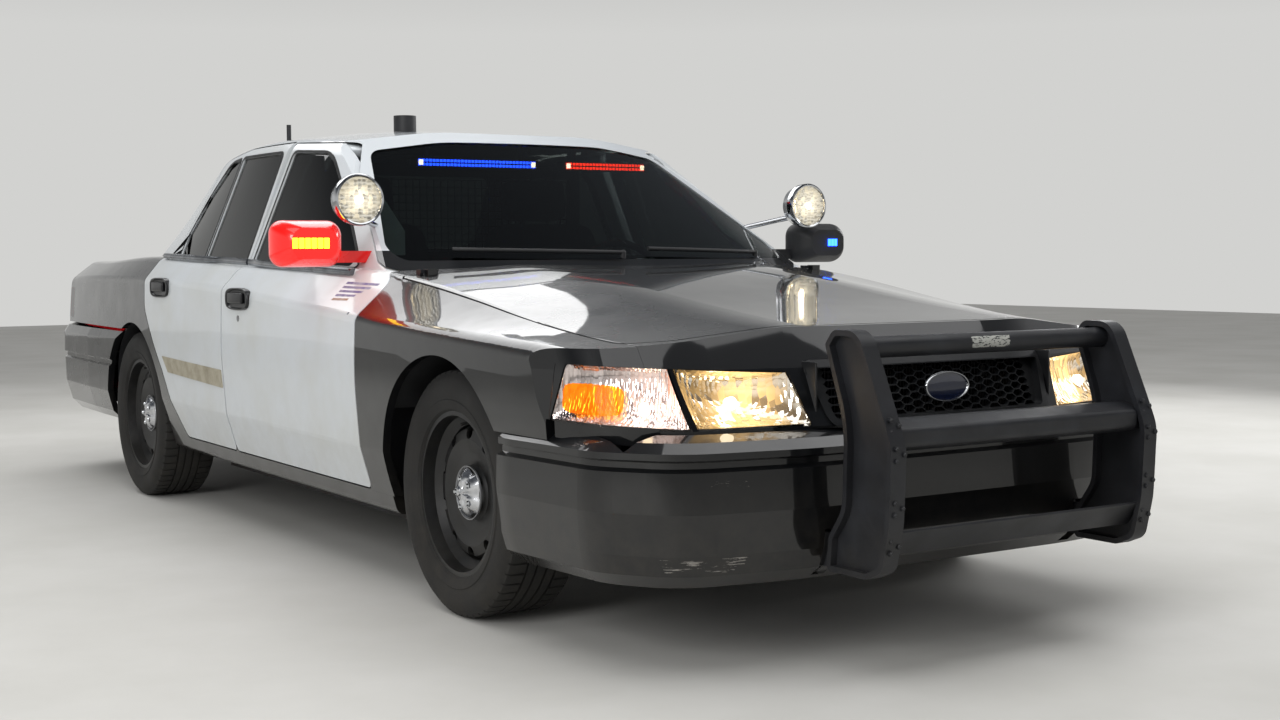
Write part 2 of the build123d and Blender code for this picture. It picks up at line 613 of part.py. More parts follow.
# Frame: rails that step out under the cabin and up over the rear axle, with cross-members
rail_side = [(2440, 150), (2520, 150), (2690, 440), (3150, 440), (3300, 325), (4150, 325), (4150, 395), (3310, 395),
             (3180, 515), (2660, 515), (2501, 234.7), (2440, 234.7)]
left_rail = [
    slab(400, 470, -900, 400, 250, 340),
    slab(400, 470, 380, 460, 150, 340),
    slab(400, 690, 440, 520, 150, 234.7),
    slab(620, 690, 440, 2500, 150, 234.7),
    slab(470, 690, 2440, 2510, 150, 234.7),
    side_prism(rail_side, [4] * len(rail_side), 470, 540),
]
frame_rails = merged(left_rail + [mirrored(piece) for piece in left_rail] + [
    slab(-470, 470, -900, -840, 250, 340),
    slab(-690, 690, 1180, 1260, 150, 190),
    slab(-540, 540, 4090, 4150, 325, 395),
])
engine_block = merged([slab(-250, 250, -640, 120, 250, 730),
                       Pos(0, 632.5, 300) * (Rot(90, 0, 0) * Cylinder(85, 1035))])
drive_shaft = bar_between((0, 1151.5, 300), (0, wheelbase - 177, 340), 36)
tank_and_exhaust = merged([slab(-380, 380, 3345, 3640, 240, rear_floor - 0.3)])

# Inner front wings over the wheels
wing = wheel_cylinder(0, arch_radius + arch_clearance + 8, 492, 945) \
    - wheel_cylinder(0, arch_radius + arch_clearance, 480, 1100)
wing = (wing & slab(0, 1000, -500, 500, 560, 800)) & whole_skin
apron = slab(484, 492, -640, 504.7, 345, 745) - wheel_cylinder(0, 330, 400, 600)
wheelhouse = solid_of(Part() + [wing, apron])

# Inside
dashboard = side_prism([(533.3, 690), (720, 640), (960, 700), (985, 800), (930, 890), (760, 922), (533.3, 900)],
                       [2, 40, 50, 40, 60, 60, 2], -755, 755)
seat_outline = [(1240, 260.3), (1700, 260.3), (1790, 560), (1905, 1150), (1800, 1165), (1650, 590), (1230, 560)]
front_seat = side_prism(seat_outline, [30, 20, 200, 50, 50, 60, 60], 130, 640)
rear_seat = side_prism([(2120, 260.3), (2479.7, 260.3), (2479.7, 575.3), (2739.7, 575.3), (2739.7, 935), (2660, 935),
                        (2600, 650), (2120, 610)], [10, 0, 0, 0, 20, 50, 60, 60], -628, 628) \
    - slab(-112.3, 112.3, 2000, 2490, 200, 402.3)
partition_frame = slab(-660, 660, 1955, 1975, 402.3, 1370) - slab(-610, 610, 1900, 2000, 800, 1320)
wheel_rim = Pos(380, 1140, 880) * (Rot(65, 0, 0) * Torus(185, 14))
column = bar_between((380, 940, 790), (380, 1140, 880), 26) - Pos(0, seat, 0) * dashboard
spokes = Pos(380, 1140, 880) * (Rot(65, 0, 0) * Box(360, 30, 14))
steering_wheel = merged([wheel_rim, column, spokes])

# Outside fittings
mirror_sections = [(0, 150, 96), (40, 205, 128), (115, 215, 140), (130, 200, 128)]
mirror_centre = (1015, 735, 1045)
mirror_shell = loft([Plane.XZ.offset(-(mirror_centre[1] + y)) * Pos(mirror_centre[0], mirror_centre[2])
                     * RectangleRounded(w, h, 40) for y, w, h in mirror_sections])
mirror_arm = slab(780, 930, 820, 860, 985, 1022)
left_mirror = solid_of(Part() + [mirror_shell, mirror_arm - Pos(0.3, 0, 0) * whole_outer])

spot_centre = (885, 691, 1180)
spot_profile = [(0, 0), (73, 0), (80, 6), (80, 24), (70, 60), (42, 98), (0, 112)]
spot_head = Pos(*spot_centre) * (Rot(-90, 0, 0) * revolve(Plane.XZ * make_face(Polyline(*spot_profile, close=True)),
                                                          Axis.Z))
spot_stem = bar_between((872, 780, 1140), (740, 893, 1102), 10)
left_spotlight = solid_of(Part() + [spot_head, bar_between((885, 760, 1175), (872, 782, 1138), 12), spot_stem]
                          - Pos(0.3, 0, 0.3) * whole_outer)

light_bar_z = 1318
visor_bars = []
for x0, x1 in ((-420, 70), (180, 560)):
    bar = slab(x0, x1, 1264, 1314, light_bar_z, light_bar_z + 32)
    ceiling = inner_form
    hangers = [slab(x, x + 20, 1275, 1305, light_bar_z, 1470) for x in (x0 + 40, x1 - 60)]
    hangers = [hanger & (ceiling if hanger.center().X > 0 else mirrored(ceiling)) for hanger in hangers]
    visor_bars.append(solid_of(Part() + [bar] + hangers))

antenna_parts = []
for x, y, radius, height in ((-512, 2250, 9, 60), (-288, 1640, 42, 22)):
    mast = Pos(x, y, 1440) * Cylinder(radius, 90, align=(Align.CENTER, Align.CENTER, Align.MIN))
    antenna_parts.append(mast - mirrored(Pos(0, 0, 0.3) * whole_outer))


def screen_point(x, z, out):
    """A point on the windshield, so far in front of it."""
    slope = (screen_high[0] - screen_low[0]) / (screen_high[1] - screen_low[1])
    y = screen_low[0] + (z - screen_low[1]) * slope + screen_sweep * (x / glass_side) ** 2
    return (x, y - out * sin(radians(28.5)), z + out * cos(radians(28.5)))


wipers = []
for pivot_x, tip_x in ((560, 40), (-70, -600)):
    middle_x = (pivot_x + tip_x) / 2
    path = ThreePointArc(screen_point(pivot_x, 1000, 14), screen_point(middle_x, 1006, 14),
                         screen_point(tip_x, 1012, 14))
    ground = outside if pivot_x > 0 else mirrored(outside)
    spindle = Pos(*(path @ 0)) * Cylinder(9, 90, align=(Align.CENTER, Align.CENTER, Align.MAX)) - ground
    wipers.append(solid_of(Part() + [sweep(Plane(origin=path @ 0, z_dir=path % 0) * Circle(7), path),
                                     Pos(*(path @ 0)) * Sphere(9), spindle]))

nodes = {
    "body_shell": body_shell,
    "firewall": firewall,
    "centre_pillars": Compound(both(centre_pillar)),
    "floor_pan": floor_pan,
    "rear_wheelhouses": Compound(both(rear_liner)),
    "hood": hood,
    "trunk_lid": trunk_lid,
    "lid_hinges": Compound(both(hood_feet) + both(lid_feet)),
    "front_fenders": Compound(both(left_fender)),
    "inner_wings": Compound(both(wheelhouse)),
    "front_left_door": front_door,
    "front_right_door": mirrored(front_door),
    "rear_left_door": rear_door,
    "rear_right_door": mirrored(rear_door),
    "front_left_glass": front_glass,
    "front_right_glass": mirrored(front_glass),
    "rear_left_glass": rear_glass,
    "rear_right_glass": mirrored(rear_glass),
    "windshield": windshield,
    "rear_window": rear_window,
    "header_panel": header_panel,
    "grille": grille,
    "headlamps": Compound(both(left_headlamp)),
    "tail_lamps": Compound(both(tail_lamp)),
    "front_bumper": front_bumper,
    "rear_bumper": rear_bumper,
    "push_bar": push_bar,
    "left_mirror": left_mirror,
    "right_mirror": mirrored(left_mirror),
    "spotlights": Compound(both(left_spotlight)),
    "visor_light_bars": Compound(visor_bars),
    "antennas": Compound(antenna_parts),
    "wipers": Compound(wipers),
    "left_knuckle": knuckle,
    "right_knuckle": mirrored(knuckle),
    "front_suspension": front_suspension,
    "rear_axle": rear_axle,
    "drive_shaft": drive_shaft,
    "frame_rails": frame_rails,
    "engine_block": engine_block,
    "fuel_tank": tank_and_exhaust,
    "dashboard": dashboard,
    "front_seats": Compound(both(front_seat)),
    "rear_seat": rear_seat,
    "partition": partition_frame,
    "steering_wheel": steering_wheel,
}
for corner, (x, y, side) in wheel_places.items():
    turn = Rot(0, 0, 0) if side > 0 else Rot(0, 0, 180)
    nodes[corner + "_wheel"] = Pos(x, y, axle_height) * (turn * wheel)
    nodes[corner + "_tyre"] = Pos(x, y, axle_height) * (turn * tyre)

os.makedirs("parts", exist_ok=True)
for name, shape in nodes.items():
    export_step(Pos(0, -origin_station, 0) * shape, f"parts/{name}.step")
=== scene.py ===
import math
import bmesh
import bpy
from mathutils import Matrix, Vector
from mathutils.bvhtree import BVHTree


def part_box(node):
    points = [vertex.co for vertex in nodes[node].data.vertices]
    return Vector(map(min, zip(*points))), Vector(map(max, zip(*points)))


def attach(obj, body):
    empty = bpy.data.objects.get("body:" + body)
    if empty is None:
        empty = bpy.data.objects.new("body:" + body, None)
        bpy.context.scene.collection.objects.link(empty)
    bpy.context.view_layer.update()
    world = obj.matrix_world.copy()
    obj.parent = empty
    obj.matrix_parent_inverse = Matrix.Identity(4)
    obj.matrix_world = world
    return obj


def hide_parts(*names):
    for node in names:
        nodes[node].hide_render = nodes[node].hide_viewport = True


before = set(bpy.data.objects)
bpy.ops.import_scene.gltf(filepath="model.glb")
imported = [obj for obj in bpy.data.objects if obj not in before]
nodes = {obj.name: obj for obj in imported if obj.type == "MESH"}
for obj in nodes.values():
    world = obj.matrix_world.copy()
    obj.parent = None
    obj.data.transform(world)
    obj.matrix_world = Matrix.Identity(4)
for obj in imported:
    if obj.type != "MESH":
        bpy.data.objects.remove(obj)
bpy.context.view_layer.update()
print("frame loaded:", len(nodes), "nodes")


# Places are given as on the car: millimetres, with y back from the front axle and z up from the ground
def middle(node):
    low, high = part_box(node)
    return (low + high) / 2


axleY = middle("front_left_tyre").y


def at(x, y, z):
    return Vector((x / 1000, axleY + y / 1000, z / 1000))


# Camera, floor and light
camera = {
    "place": (-2959.5, -4133.1, 1005.4),   # from the front axle on the ground, mm
    "yaw": 0.5720,                         # radians, towards +X
    "pitch": 0.0634,                       # radians, downwards
    "roll": -0.0061,
    "lens": 46.78, "sensor": 36,           # mm
    "reach": 200,                          # m
}


def placeCamera(s):
    data = bpy.data.cameras.new("photoCamera")
    data.lens = s["lens"]
    data.sensor_width = s["sensor"]
    data.clip_end = s["reach"]
    eye = bpy.data.objects.new("photoCamera", data)
    bpy.context.scene.collection.objects.link(eye)
    yaw, pitch, roll = s["yaw"], s["pitch"], s["roll"]
    forward = Vector((math.sin(yaw) * math.cos(pitch), math.cos(yaw) * math.cos(pitch), -math.sin(pitch)))
    level = Vector((math.cos(yaw), -math.sin(yaw), 0))
    upright = level.cross(forward)
    right = math.cos(roll) * level + math.sin(roll) * upright
    up = right.cross(forward)
    turn = Matrix((right, up, -forward)).transposed()
    eye.matrix_world = Matrix.Translation(at(*s["place"])) @ turn.to_4x4()
    bpy.context.scene.camera = eye


placeCamera(camera)
bpy.context.scene.view_settings.view_transform = "Standard"


def hexColour(code):  # an sRGB hex value as the linear colour that a socket takes
    channels = [int(code[i:i + 2], 16) / 255 for i in (1, 3, 5)]
    return tuple(c / 12.92 if c <= 0.04045 else ((c + 0.055) / 1.055) ** 2.4 for c in channels) + (1.0,)


def feed(tree, socket, value):  # a link from another socket, or else a constant
    if isinstance(value, bpy.types.NodeSocket):
        tree.links.new(value, socket)
    else:
        socket.default_value = value


def feedAll(tree, node, sockets):
    for name, value in sockets.items():
        feed(tree, node.inputs[name], value)


def addNode(tree, kind, sockets=None, settings=None):
    node = tree.nodes.new(kind)
    for name, value in (settings or {}).items():
        setattr(node, name, value)
    feedAll(tree, node, sockets or {})
    return node


def newMaterial(name):
    material = bpy.data.materials.new(name)
    material.use_nodes = True
    return material, material.node_tree, material.node_tree.nodes["Principled BSDF"]


def objectPlace(tree):
    return addNode(tree, "ShaderNodeTexCoord").outputs["Object"]


def noiseAt(tree, sizeMm, detail=3.0, rough=0.5, place=None):  # grey noise whose blobs are about sizeMm across
    sockets = {"Scale": 1000 / sizeMm, "Detail": detail, "Roughness": rough, "Vector": place or objectPlace(tree)}
    return addNode(tree, "ShaderNodeTexNoise", sockets).outputs["Fac"]


def stretch(tree, source, low, high, toLow=0.0, toHigh=1.0):
    sockets = {"Value": source, "From Min": low, "From Max": high, "To Min": toLow, "To Max": toHigh}
    return addNode(tree, "ShaderNodeMapRange", sockets).outputs["Result"]


def blendColour(tree, share, first, second):
    node = addNode(tree, "ShaderNodeMix", settings={"data_type": "RGBA"})
    for index, value in ((0, share), (6, first), (7, second)):    # the node's factor, and its colours A and B
        feed(tree, node.inputs[index], value)
    return node.outputs[2]


def calc(tree, operation, first, second):
    node = addNode(tree, "ShaderNodeMath", settings={"operation": operation})
    feed(tree, node.inputs[0], first)
    feed(tree, node.inputs[1], second)
    return node.outputs[0]


def axesOf(tree, place):
    return addNode(tree, "ShaderNodeSeparateXYZ", {"Vector": place}).outputs


def unsigned(tree, place):
    return addNode(tree, "ShaderNodeVectorMath", {"Vector": place}, {"operation": "ABSOLUTE"}).outputs[0]


def distance(tree, place, centre):
    node = addNode(tree, "ShaderNodeVectorMath", {"Vector": place}, {"operation": "DISTANCE"})
    node.inputs[1].default_value = centre
    return node.outputs["Value"]


stage = {
    "floor": "#C4C3BF", "floorSpot": "#B9B8B3", "floorRough": 0.85,
    "cloudMm": 900, "cloudBand": (0.35, 0.7),
    "floorSize": 40.0,        # m
    "wall": "#D2D2D0",        # pale wall round the floor, seen directly, in gloss and through glass
    "ceiling": "#4A4D52",     # above the wall
    "wallTop": (0.13, 0.42),  # sine of the height where the wall ends and the ceiling begins
    "ambient": 0.52,
}


def makeFloor(s):
    half = s["floorSize"] / 2
    mesh = bpy.data.meshes.new("studioFloor")
    mesh.from_pydata([(-half, -half, 0), (half, -half, 0), (half, half, 0), (-half, half, 0)], [], [(0, 1, 2, 3)])
    floor = bpy.data.objects.new("studioFloor", mesh)
    bpy.context.scene.collection.objects.link(floor)
    material, tree, shader = newMaterial("paleConcrete")   # smooth cast floor, faintly cloudy
    cloud = stretch(tree, noiseAt(tree, s["cloudMm"], 5, 0.6), *s["cloudBand"])
    colour = blendColour(tree, cloud, hexColour(s["floor"]), hexColour(s["floorSpot"]))
    feedAll(tree, shader, {"Base Color": colour, "Roughness": s["floorRough"]})
    mesh.materials.append(material)


def makeRoom(s):  # white light on what is dull; wall and ceiling for the camera, gloss and glass
    world = bpy.data.worlds.new("studio")
    bpy.context.scene.world = world
    world.use_nodes = True
    tree = world.node_tree
    height = axesOf(tree, addNode(tree, "ShaderNodeTexCoord").outputs["Generated"])["Z"]
    room = blendColour(tree, stretch(tree, height, *s["wallTop"]), hexColour(s["wall"]), hexColour(s["ceiling"]))
    path = addNode(tree, "ShaderNodeLightPath").outputs
    direct = calc(tree, "MAXIMUM", path["Is Camera Ray"], path["Is Glossy Ray"])
    seen = calc(tree, "MAXIMUM", direct, path["Is Transmission Ray"])
    feedAll(tree, tree.nodes["Background"], {"Color": blendColour(tree, seen, hexColour("#FFFFFF"), room),
                                             "Strength": stretch(tree, seen, 0, 1, s["ambient"], 1.0)})


lights = {   # white rectangles: place, aim and size in m, power in W
    "overhead": dict(place=(0, -2.6, 5.4), aim=(0, -0.6, 0.4), size=(9, 4.6), power=240),
    "rearOverhead": dict(place=(0, 4.6, 5.0), aim=(0, 1.0, 0.6), size=(6.5, 3.2), power=170),
    "frontRight": dict(place=(-6.5, -4.5, 3.4), aim=(-0.5, 0, 0.7), size=(2.2, 3.2), power=190),
    "leftSide": dict(place=(6.5, 0.5, 3.0), aim=(0, 0, 0.6), size=(5, 1.4), power=150),
}


def softbox(name, s):
    data = bpy.data.lights.new(name, "AREA")
    data.shape = "RECTANGLE"
    data.size, data.size_y = s["size"]
    data.energy = s["power"]
    lamp = bpy.data.objects.new(name, data)
    bpy.context.scene.collection.objects.link(lamp)
    lamp.location = s["place"]
    lamp.rotation_mode = "QUATERNION"
    lamp.rotation_quaternion = (Vector(s["aim"]) - Vector(s["place"])).to_track_quat("-Z", "Y")


makeFloor(stage)
makeRoom(stage)
for name, s in lights.items():
    softbox(name, s)
print("stage made")


# Paints, plastics, metals and glass
pattern = {
    "blotchBand": (0.42, 0.72),                                   # the part of the noise where a blotch comes in
    "dustMm": 60, "dustBand": (0.3, 0.7), "dustFull": 0.1,        # dust is full below this height, m
    "glossMm": 120, "glossBand": (0.3, 0.7),
}


def finish(name, s):  # a plain finish: colour, blotches, dust low down, gloss that varies, and fine bump
    material, tree, shader = newMaterial(name)
    place = objectPlace(tree)
    share = stretch(tree, noiseAt(tree, s["blotchMm"], 4, 0.6, place), *pattern["blotchBand"])
    colour = blendColour(tree, share, hexColour(s["colour"]), hexColour(s["blotch"]))
    if "dust" in s:
        low = stretch(tree, axesOf(tree, place)["Z"], s["dustTopMm"] / 1000, pattern["dustFull"], 0, s["dustAmount"])
        specks = stretch(tree, noiseAt(tree, pattern["dustMm"], 6, 0.7, place), *pattern["dustBand"])
        colour = blendColour(tree, calc(tree, "MULTIPLY", low, specks), colour, hexColour(s["dust"]))
    gloss = stretch(tree, noiseAt(tree, pattern["glossMm"], 3, 0.5, place), *pattern["glossBand"], *s["gloss"])
    feedAll(tree, shader, {"Base Color": colour, "Roughness": gloss, "Metallic": s.get("metal", 0.0),
                           "Specular IOR Level": s.get("sheen", 0.5), "Coat Weight": s.get("coat", 0.0),
                           "Coat Roughness": s.get("coatRoughness", 0.03)})
    if "bumpMm" in s:
        height = noiseAt(tree, s["bumpMm"], 2, 0.5, place)
        bump = addNode(tree, "ShaderNodeBump", {"Strength": s["bump"], "Distance": 0.001, "Height": height})
        feed(tree, shader.inputs["Normal"], bump.outputs["Normal"])
    return material


finishes = {
    # sprayed enamel under old clear lacquer: deep black with faint haze and road dust low down
    "blackPaint": dict(colour="#08090B", blotch="#0D0E10", blotchMm=400, dust="#6A6254", dustTopMm=520,
                       dustAmount=0.16, gloss=(0.3, 0.42), sheen=0.15, coat=1.0, bumpMm=9, bump=0.008),
    # the same in white, with more dust to see
    "whitePaint": dict(colour="#CBD0D4", blotch="#C4C7C6", blotchMm=300, dust="#8C8270", dustTopMm=560,
                       dustAmount=0.35, gloss=(0.3, 0.42), coat=0.6, coatRoughness=0.06, bumpMm=9, bump=0.012),
    # powder coat on tube and plate: matt, slightly pebbled, rubbed lighter in places
    "blackSteel": dict(colour="#15161A", blotch="#1F2126", blotchMm=90, dust="#5B564C", dustTopMm=500,
                       dustAmount=0.18, gloss=(0.42, 0.6), bumpMm=3, bump=0.12),
    # pressed steel under satin enamel: dark, a soft sheen on the lips, brake dust
    "wheelSteel": dict(colour="#0C0D0E", blotch="#16171A", blotchMm=50, dust="#4A453C", dustTopMm=700,
                       dustAmount=0.25, gloss=(0.35, 0.5), bumpMm=3, bump=0.08),
    # moulded rubber: dull, greyed by dust near the ground
    "tyreRubber": dict(colour="#141414", blotch="#1B1A19", blotchMm=70, dust="#4C473E", dustTopMm=720,
                       dustAmount=0.3, gloss=(0.7, 0.88), bumpMm=2, bump=0.25),
    # brushed chassis paint: flat black with brown stains
    "chassisPaint": dict(colour="#16161A", blotch="#2C241D", blotchMm=120, gloss=(0.6, 0.8), bumpMm=4, bump=0.2),
    # sand-cast iron: rough, dark, with a bloom of rust
    "rustyCasting": dict(colour="#3A332D", blotch="#57391F", blotchMm=40, gloss=(0.6, 0.85), metal=0.3,
                         bumpMm=3, bump=0.4),
    # machined and oily iron block: dark grey with brown films
    "engineIron": dict(colour="#2E2F31", blotch="#3D3832", blotchMm=70, gloss=(0.6, 0.8), metal=0.4,
                       bumpMm=3, bump=0.35),
    # turned disc and hat, browned by heat and rust
    "brakeIron": dict(colour="#6D6A66", blotch="#5A4434", blotchMm=60, gloss=(0.35, 0.5), metal=0.9),
    # die-cast aluminium: pale, chalky, a little oily
    "castAlloy": dict(colour="#8B8C8C", blotch="#6C6A66", blotchMm=50, gloss=(0.5, 0.68), metal=0.8,
                      bumpMm=3, bump=0.25),
    # moulded ABS: smooth black with clear reflections
    "mouldedBlack": dict(colour="#0E0F11", blotch="#151618", blotchMm=160, dust="#6A6254", dustTopMm=420,
                         dustAmount=0.15, gloss=(0.28, 0.42), bumpMm=1.5, bump=0.05),
    # the same polished, for the posts between lamps
    "glossBlack": dict(colour="#050506", blotch="#0A0A0B", blotchMm=40, gloss=(0.1, 0.2), coat=1.0),
    # grained polypropylene: charcoal, soft highlights
    "grainedBlack": dict(colour="#17181A", blotch="#1E1F22", blotchMm=60, gloss=(0.5, 0.65), bumpMm=1.2, bump=0.2),
    # door handles: the same, darker and worn smoother by hands
    "handleBlack": dict(colour="#101114", blotch="#191A1E", blotchMm=30, gloss=(0.3, 0.45), bumpMm=1.4, bump=0.12),
    # extruded window rubber
    "rubberTrim": dict(colour="#0D0E0F", blotch="#17181A", blotchMm=40, gloss=(0.5, 0.7), bumpMm=2, bump=0.1),
    # soft-touch moulding: matt dark grey with fine grain
    "cabinPlastic": dict(colour="#1A1A1D", blotch="#222226", blotchMm=80, gloss=(0.55, 0.7), bumpMm=1.2, bump=0.25),
    # woven seat cloth: nearly black, no highlight; the hidden CAD seats wear the plainer one
    "darkCloth": dict(colour="#17181B", blotch="#1F2126", blotchMm=15, gloss=(0.85, 0.95), bumpMm=1.5, bump=0.5),
    "seatCloth": dict(colour="#1B1C1F", blotch="#24262A", blotchMm=12, gloss=(0.85, 0.95), sheen=0.3,
                      bumpMm=1.6, bump=0.5),
    # wipe-clean vinyl of the rear seat
    "seatVinyl": dict(colour="#202126", blotch="#2A2B30", blotchMm=30, gloss=(0.45, 0.6), bumpMm=2, bump=0.3),
    # plated steel: a bright, sharp mirror
    "chrome": dict(colour="#C9CBCE", blotch="#BFC1C4", blotchMm=30, gloss=(0.08, 0.16), metal=1.0),
    # pressed and polished hub cap: bright, faintly wavy
    "brightCap": dict(colour="#D6D7DA", blotch="#BDBFC3", blotchMm=20, gloss=(0.14, 0.28), metal=1.0,
                      bumpMm=18, bump=0.25),
    # zinc-plated steel: grey with a broad, soft highlight
    "dullSteel": dict(colour="#9A9B9D", blotch="#86878A", blotchMm=30, gloss=(0.28, 0.42), metal=1.0,
                      bumpMm=2, bump=0.06),
    # anodised belt moulding under the windows
    "beltTrim": dict(colour="#8D9095", blotch="#5E6166", blotchMm=90, gloss=(0.16, 0.3), metal=1.0),
    # yellowed protective film
    "agedStrip": dict(colour="#A9A290", blotch="#8A836F", blotchMm=60, gloss=(0.55, 0.7), bumpMm=2, bump=0.15),
    # enamel of the bare badge
    "badgeBlue": dict(colour="#121A33", blotch="#0E1530", blotchMm=25, gloss=(0.12, 0.2), coat=1.0),
    # washer bottle
    "milkyPlastic": dict(colour="#CFCBB8", blotch="#B9B39B", blotchMm=60, gloss=(0.4, 0.55)),
    # printed keys, aged; a blank aluminium plate; sun-bleached vinyl stripes
    "whiteKeys": dict(colour="#8D8F90", blotch="#7A7C7E", blotchMm=10, gloss=(0.4, 0.5)),
    "blankPlate": dict(colour="#C9CAC8", blotch="#BDBEBB", blotchMm=60, gloss=(0.35, 0.5), bumpMm=4, bump=0.05),
    "fadedViolet": dict(colour="#6F6A96", blotch="#A5A6B4", blotchMm=30, gloss=(0.5, 0.6)),
    "fadedTan": dict(colour="#9A7A64", blotch="#B9B2A8", blotchMm=30, gloss=(0.5, 0.6)),
}
looks = {name: finish(name, s) for name, s in finishes.items()}


def clearGlass(name, colour, roughness=0.0):  # float glass: clear body, sharp reflection
    material, tree, shader = newMaterial(name)
    feedAll(tree, shader, {"Base Color": hexColour(colour), "Roughness": roughness,
                           "Transmission Weight": 1.0, "IOR": 1.45})
    return material


def glowing(name, colour, strength):  # a lit lamp
    material, tree, shader = newMaterial(name)
    feedAll(tree, shader, {"Base Color": hexColour("#202020"), "Emission Color": hexColour(colour),
                           "Emission Strength": strength, "Roughness": 0.3})
    return material


for name, colour, roughness in (("screenGlass", "#76807C", 0), ("tintedGlass", "#2B302F", 0),
                                ("lensGlass", "#FBFBF7", 0), ("redLens", "#C3141A", 0.05)):
    looks[name] = clearGlass(name, colour, roughness)
for name, colour, strength in (("lamp", "#FFE9C4", 6), ("amberLed", "#FFC81E", 7), ("blueLed", "#1A46FF", 14),
                               ("redLed", "#FF2A12", 9), ("whiteLed", "#FFE6C8", 9)):
    looks[name] = glowing(name, colour, strength)

paintSplit = {"belt": 1022, "cowl": 560}   # white above the belt and behind the cowl


def shellPaint(s):  # white roof and pillars, black quarters, deck, cowl and rockers on one welded shell
    material = finish("shellPaint", finishes["blackPaint"])
    tree = material.node_tree
    base = tree.nodes["Principled BSDF"].inputs["Base Color"]
    axes = axesOf(tree, objectPlace(tree))
    above = calc(tree, "GREATER_THAN", axes["Z"], s["belt"] / 1000)
    behind = calc(tree, "GREATER_THAN", axes["Y"], axleY + s["cowl"] / 1000)
    white = hexColour(finishes["whitePaint"]["colour"])
    feed(tree, base, blendColour(tree, calc(tree, "MULTIPLY", above, behind), base.links[0].from_socket, white))
    return material


looks["shellPaint"] = shellPaint(paintSplit)

# the right mirror's red cover has a painted glow: its colour, strength beside the lamps and share further off are
# emission standing in for lamp light on the plastic
redMirror = {
    "plastic": dict(colour="#B80B0B", blotch="#A30D0E", blotchMm=60, gloss=(0.2, 0.3), coat=0.6),
    "paintedGlowColour": "#FF1408", "glow": 1.1, "paintedGlowFar": 0.25,     # strength beside the lamps, and its share further off
    "lamps": (-1030, 740, 1046), "near": 20, "far": 190,
}


def paintedGlowHousing(name, s):  # moulded red cover with a painted glow: emission, brightest beside its lamps, that stands in for their light on it
    material = finish(name, s["plastic"])
    tree = material.node_tree
    far = distance(tree, objectPlace(tree), at(*s["lamps"]))
    strength = stretch(tree, far, s["near"] / 1000, s["far"] / 1000, s["glow"], s["glow"] * s["paintedGlowFar"])
    feedAll(tree, tree.nodes["Principled BSDF"], {"Emission Color": hexColour(s["paintedGlowColour"]),
                                                  "Emission Strength": strength})
    return material


looks["redPaintedGlowHousing"] = paintedGlowHousing("redPaintedGlowHousing", redMirror)


def rubbedPaint(name, base, s):  # paint worn through to a pale layer inside some boxes
    material = finish(name, base)
    tree = material.node_tree
    socket = tree.nodes["Principled BSDF"].inputs["Base Color"]
    colour = socket.links[0].from_socket
    place = objectPlace(tree)
    streaks = addNode(tree, "ShaderNodeMapping", {"Scale": [1000 / m for m in s["streakMm"]], "Vector": place})
    speckle = addNode(tree, "ShaderNodeTexNoise", {"Scale": 1.0, "Detail": 5.0, "Roughness": 0.7,
                                                   "Vector": streaks.outputs[0]}).outputs["Fac"]
    for centre, half in s["patches"]:
        centre = at(*centre)
        inBox = addNode(tree, "ShaderNodeMapping", {"Location": [-centre[i] / (half[i] / 1000) for i in range(3)],
                                                    "Scale": [1000 / h for h in half], "Vector": place})
        axes = axesOf(tree, unsigned(tree, inBox.outputs[0]))
        far = calc(tree, "MAXIMUM", calc(tree, "MAXIMUM", axes["X"], axes["Y"]), axes["Z"])
        share = calc(tree, "MULTIPLY", stretch(tree, far, 1.0, s["edge"]), speckle)
        worn = calc(tree, "GREATER_THAN", share, s["above"])
        colour = blendColour(tree, worn, colour, hexColour(s["bare"]))
    feed(tree, socket, colour)
    return material


rubbed = {   # where the wear fades out, as a share of the box, and the noise above which paint is gone
    # where a label came off the tube; patches are centres and half sizes in mm
    "pushBarCoat": dict(bare="#9FA09A", streakMm=(14, 14, 5), edge=0.78, above=1 - 0.95 * 0.58,
                        patches=[((2, -1140, 785), (78, 22, 17))]),
    # scrapes along the bumper
    "bumperPaint": dict(bare="#8E8A84", streakMm=(70, 70, 5), edge=0.78, above=1 - 0.72 * 0.58,
                        patches=[((-800, -985, 276), (190, 75, 22)), ((820, -985, 280), (120, 75, 16)),
                                 ((-700, -1000, 470), (60, 60, 10))]),
}
looks["pushBarCoat"] = rubbedPaint("pushBarCoat", finishes["blackSteel"], rubbed["pushBarCoat"])
looks["bumperPaint"] = rubbedPaint("bumperPaint", finishes["blackPaint"], rubbed["bumperPaint"])

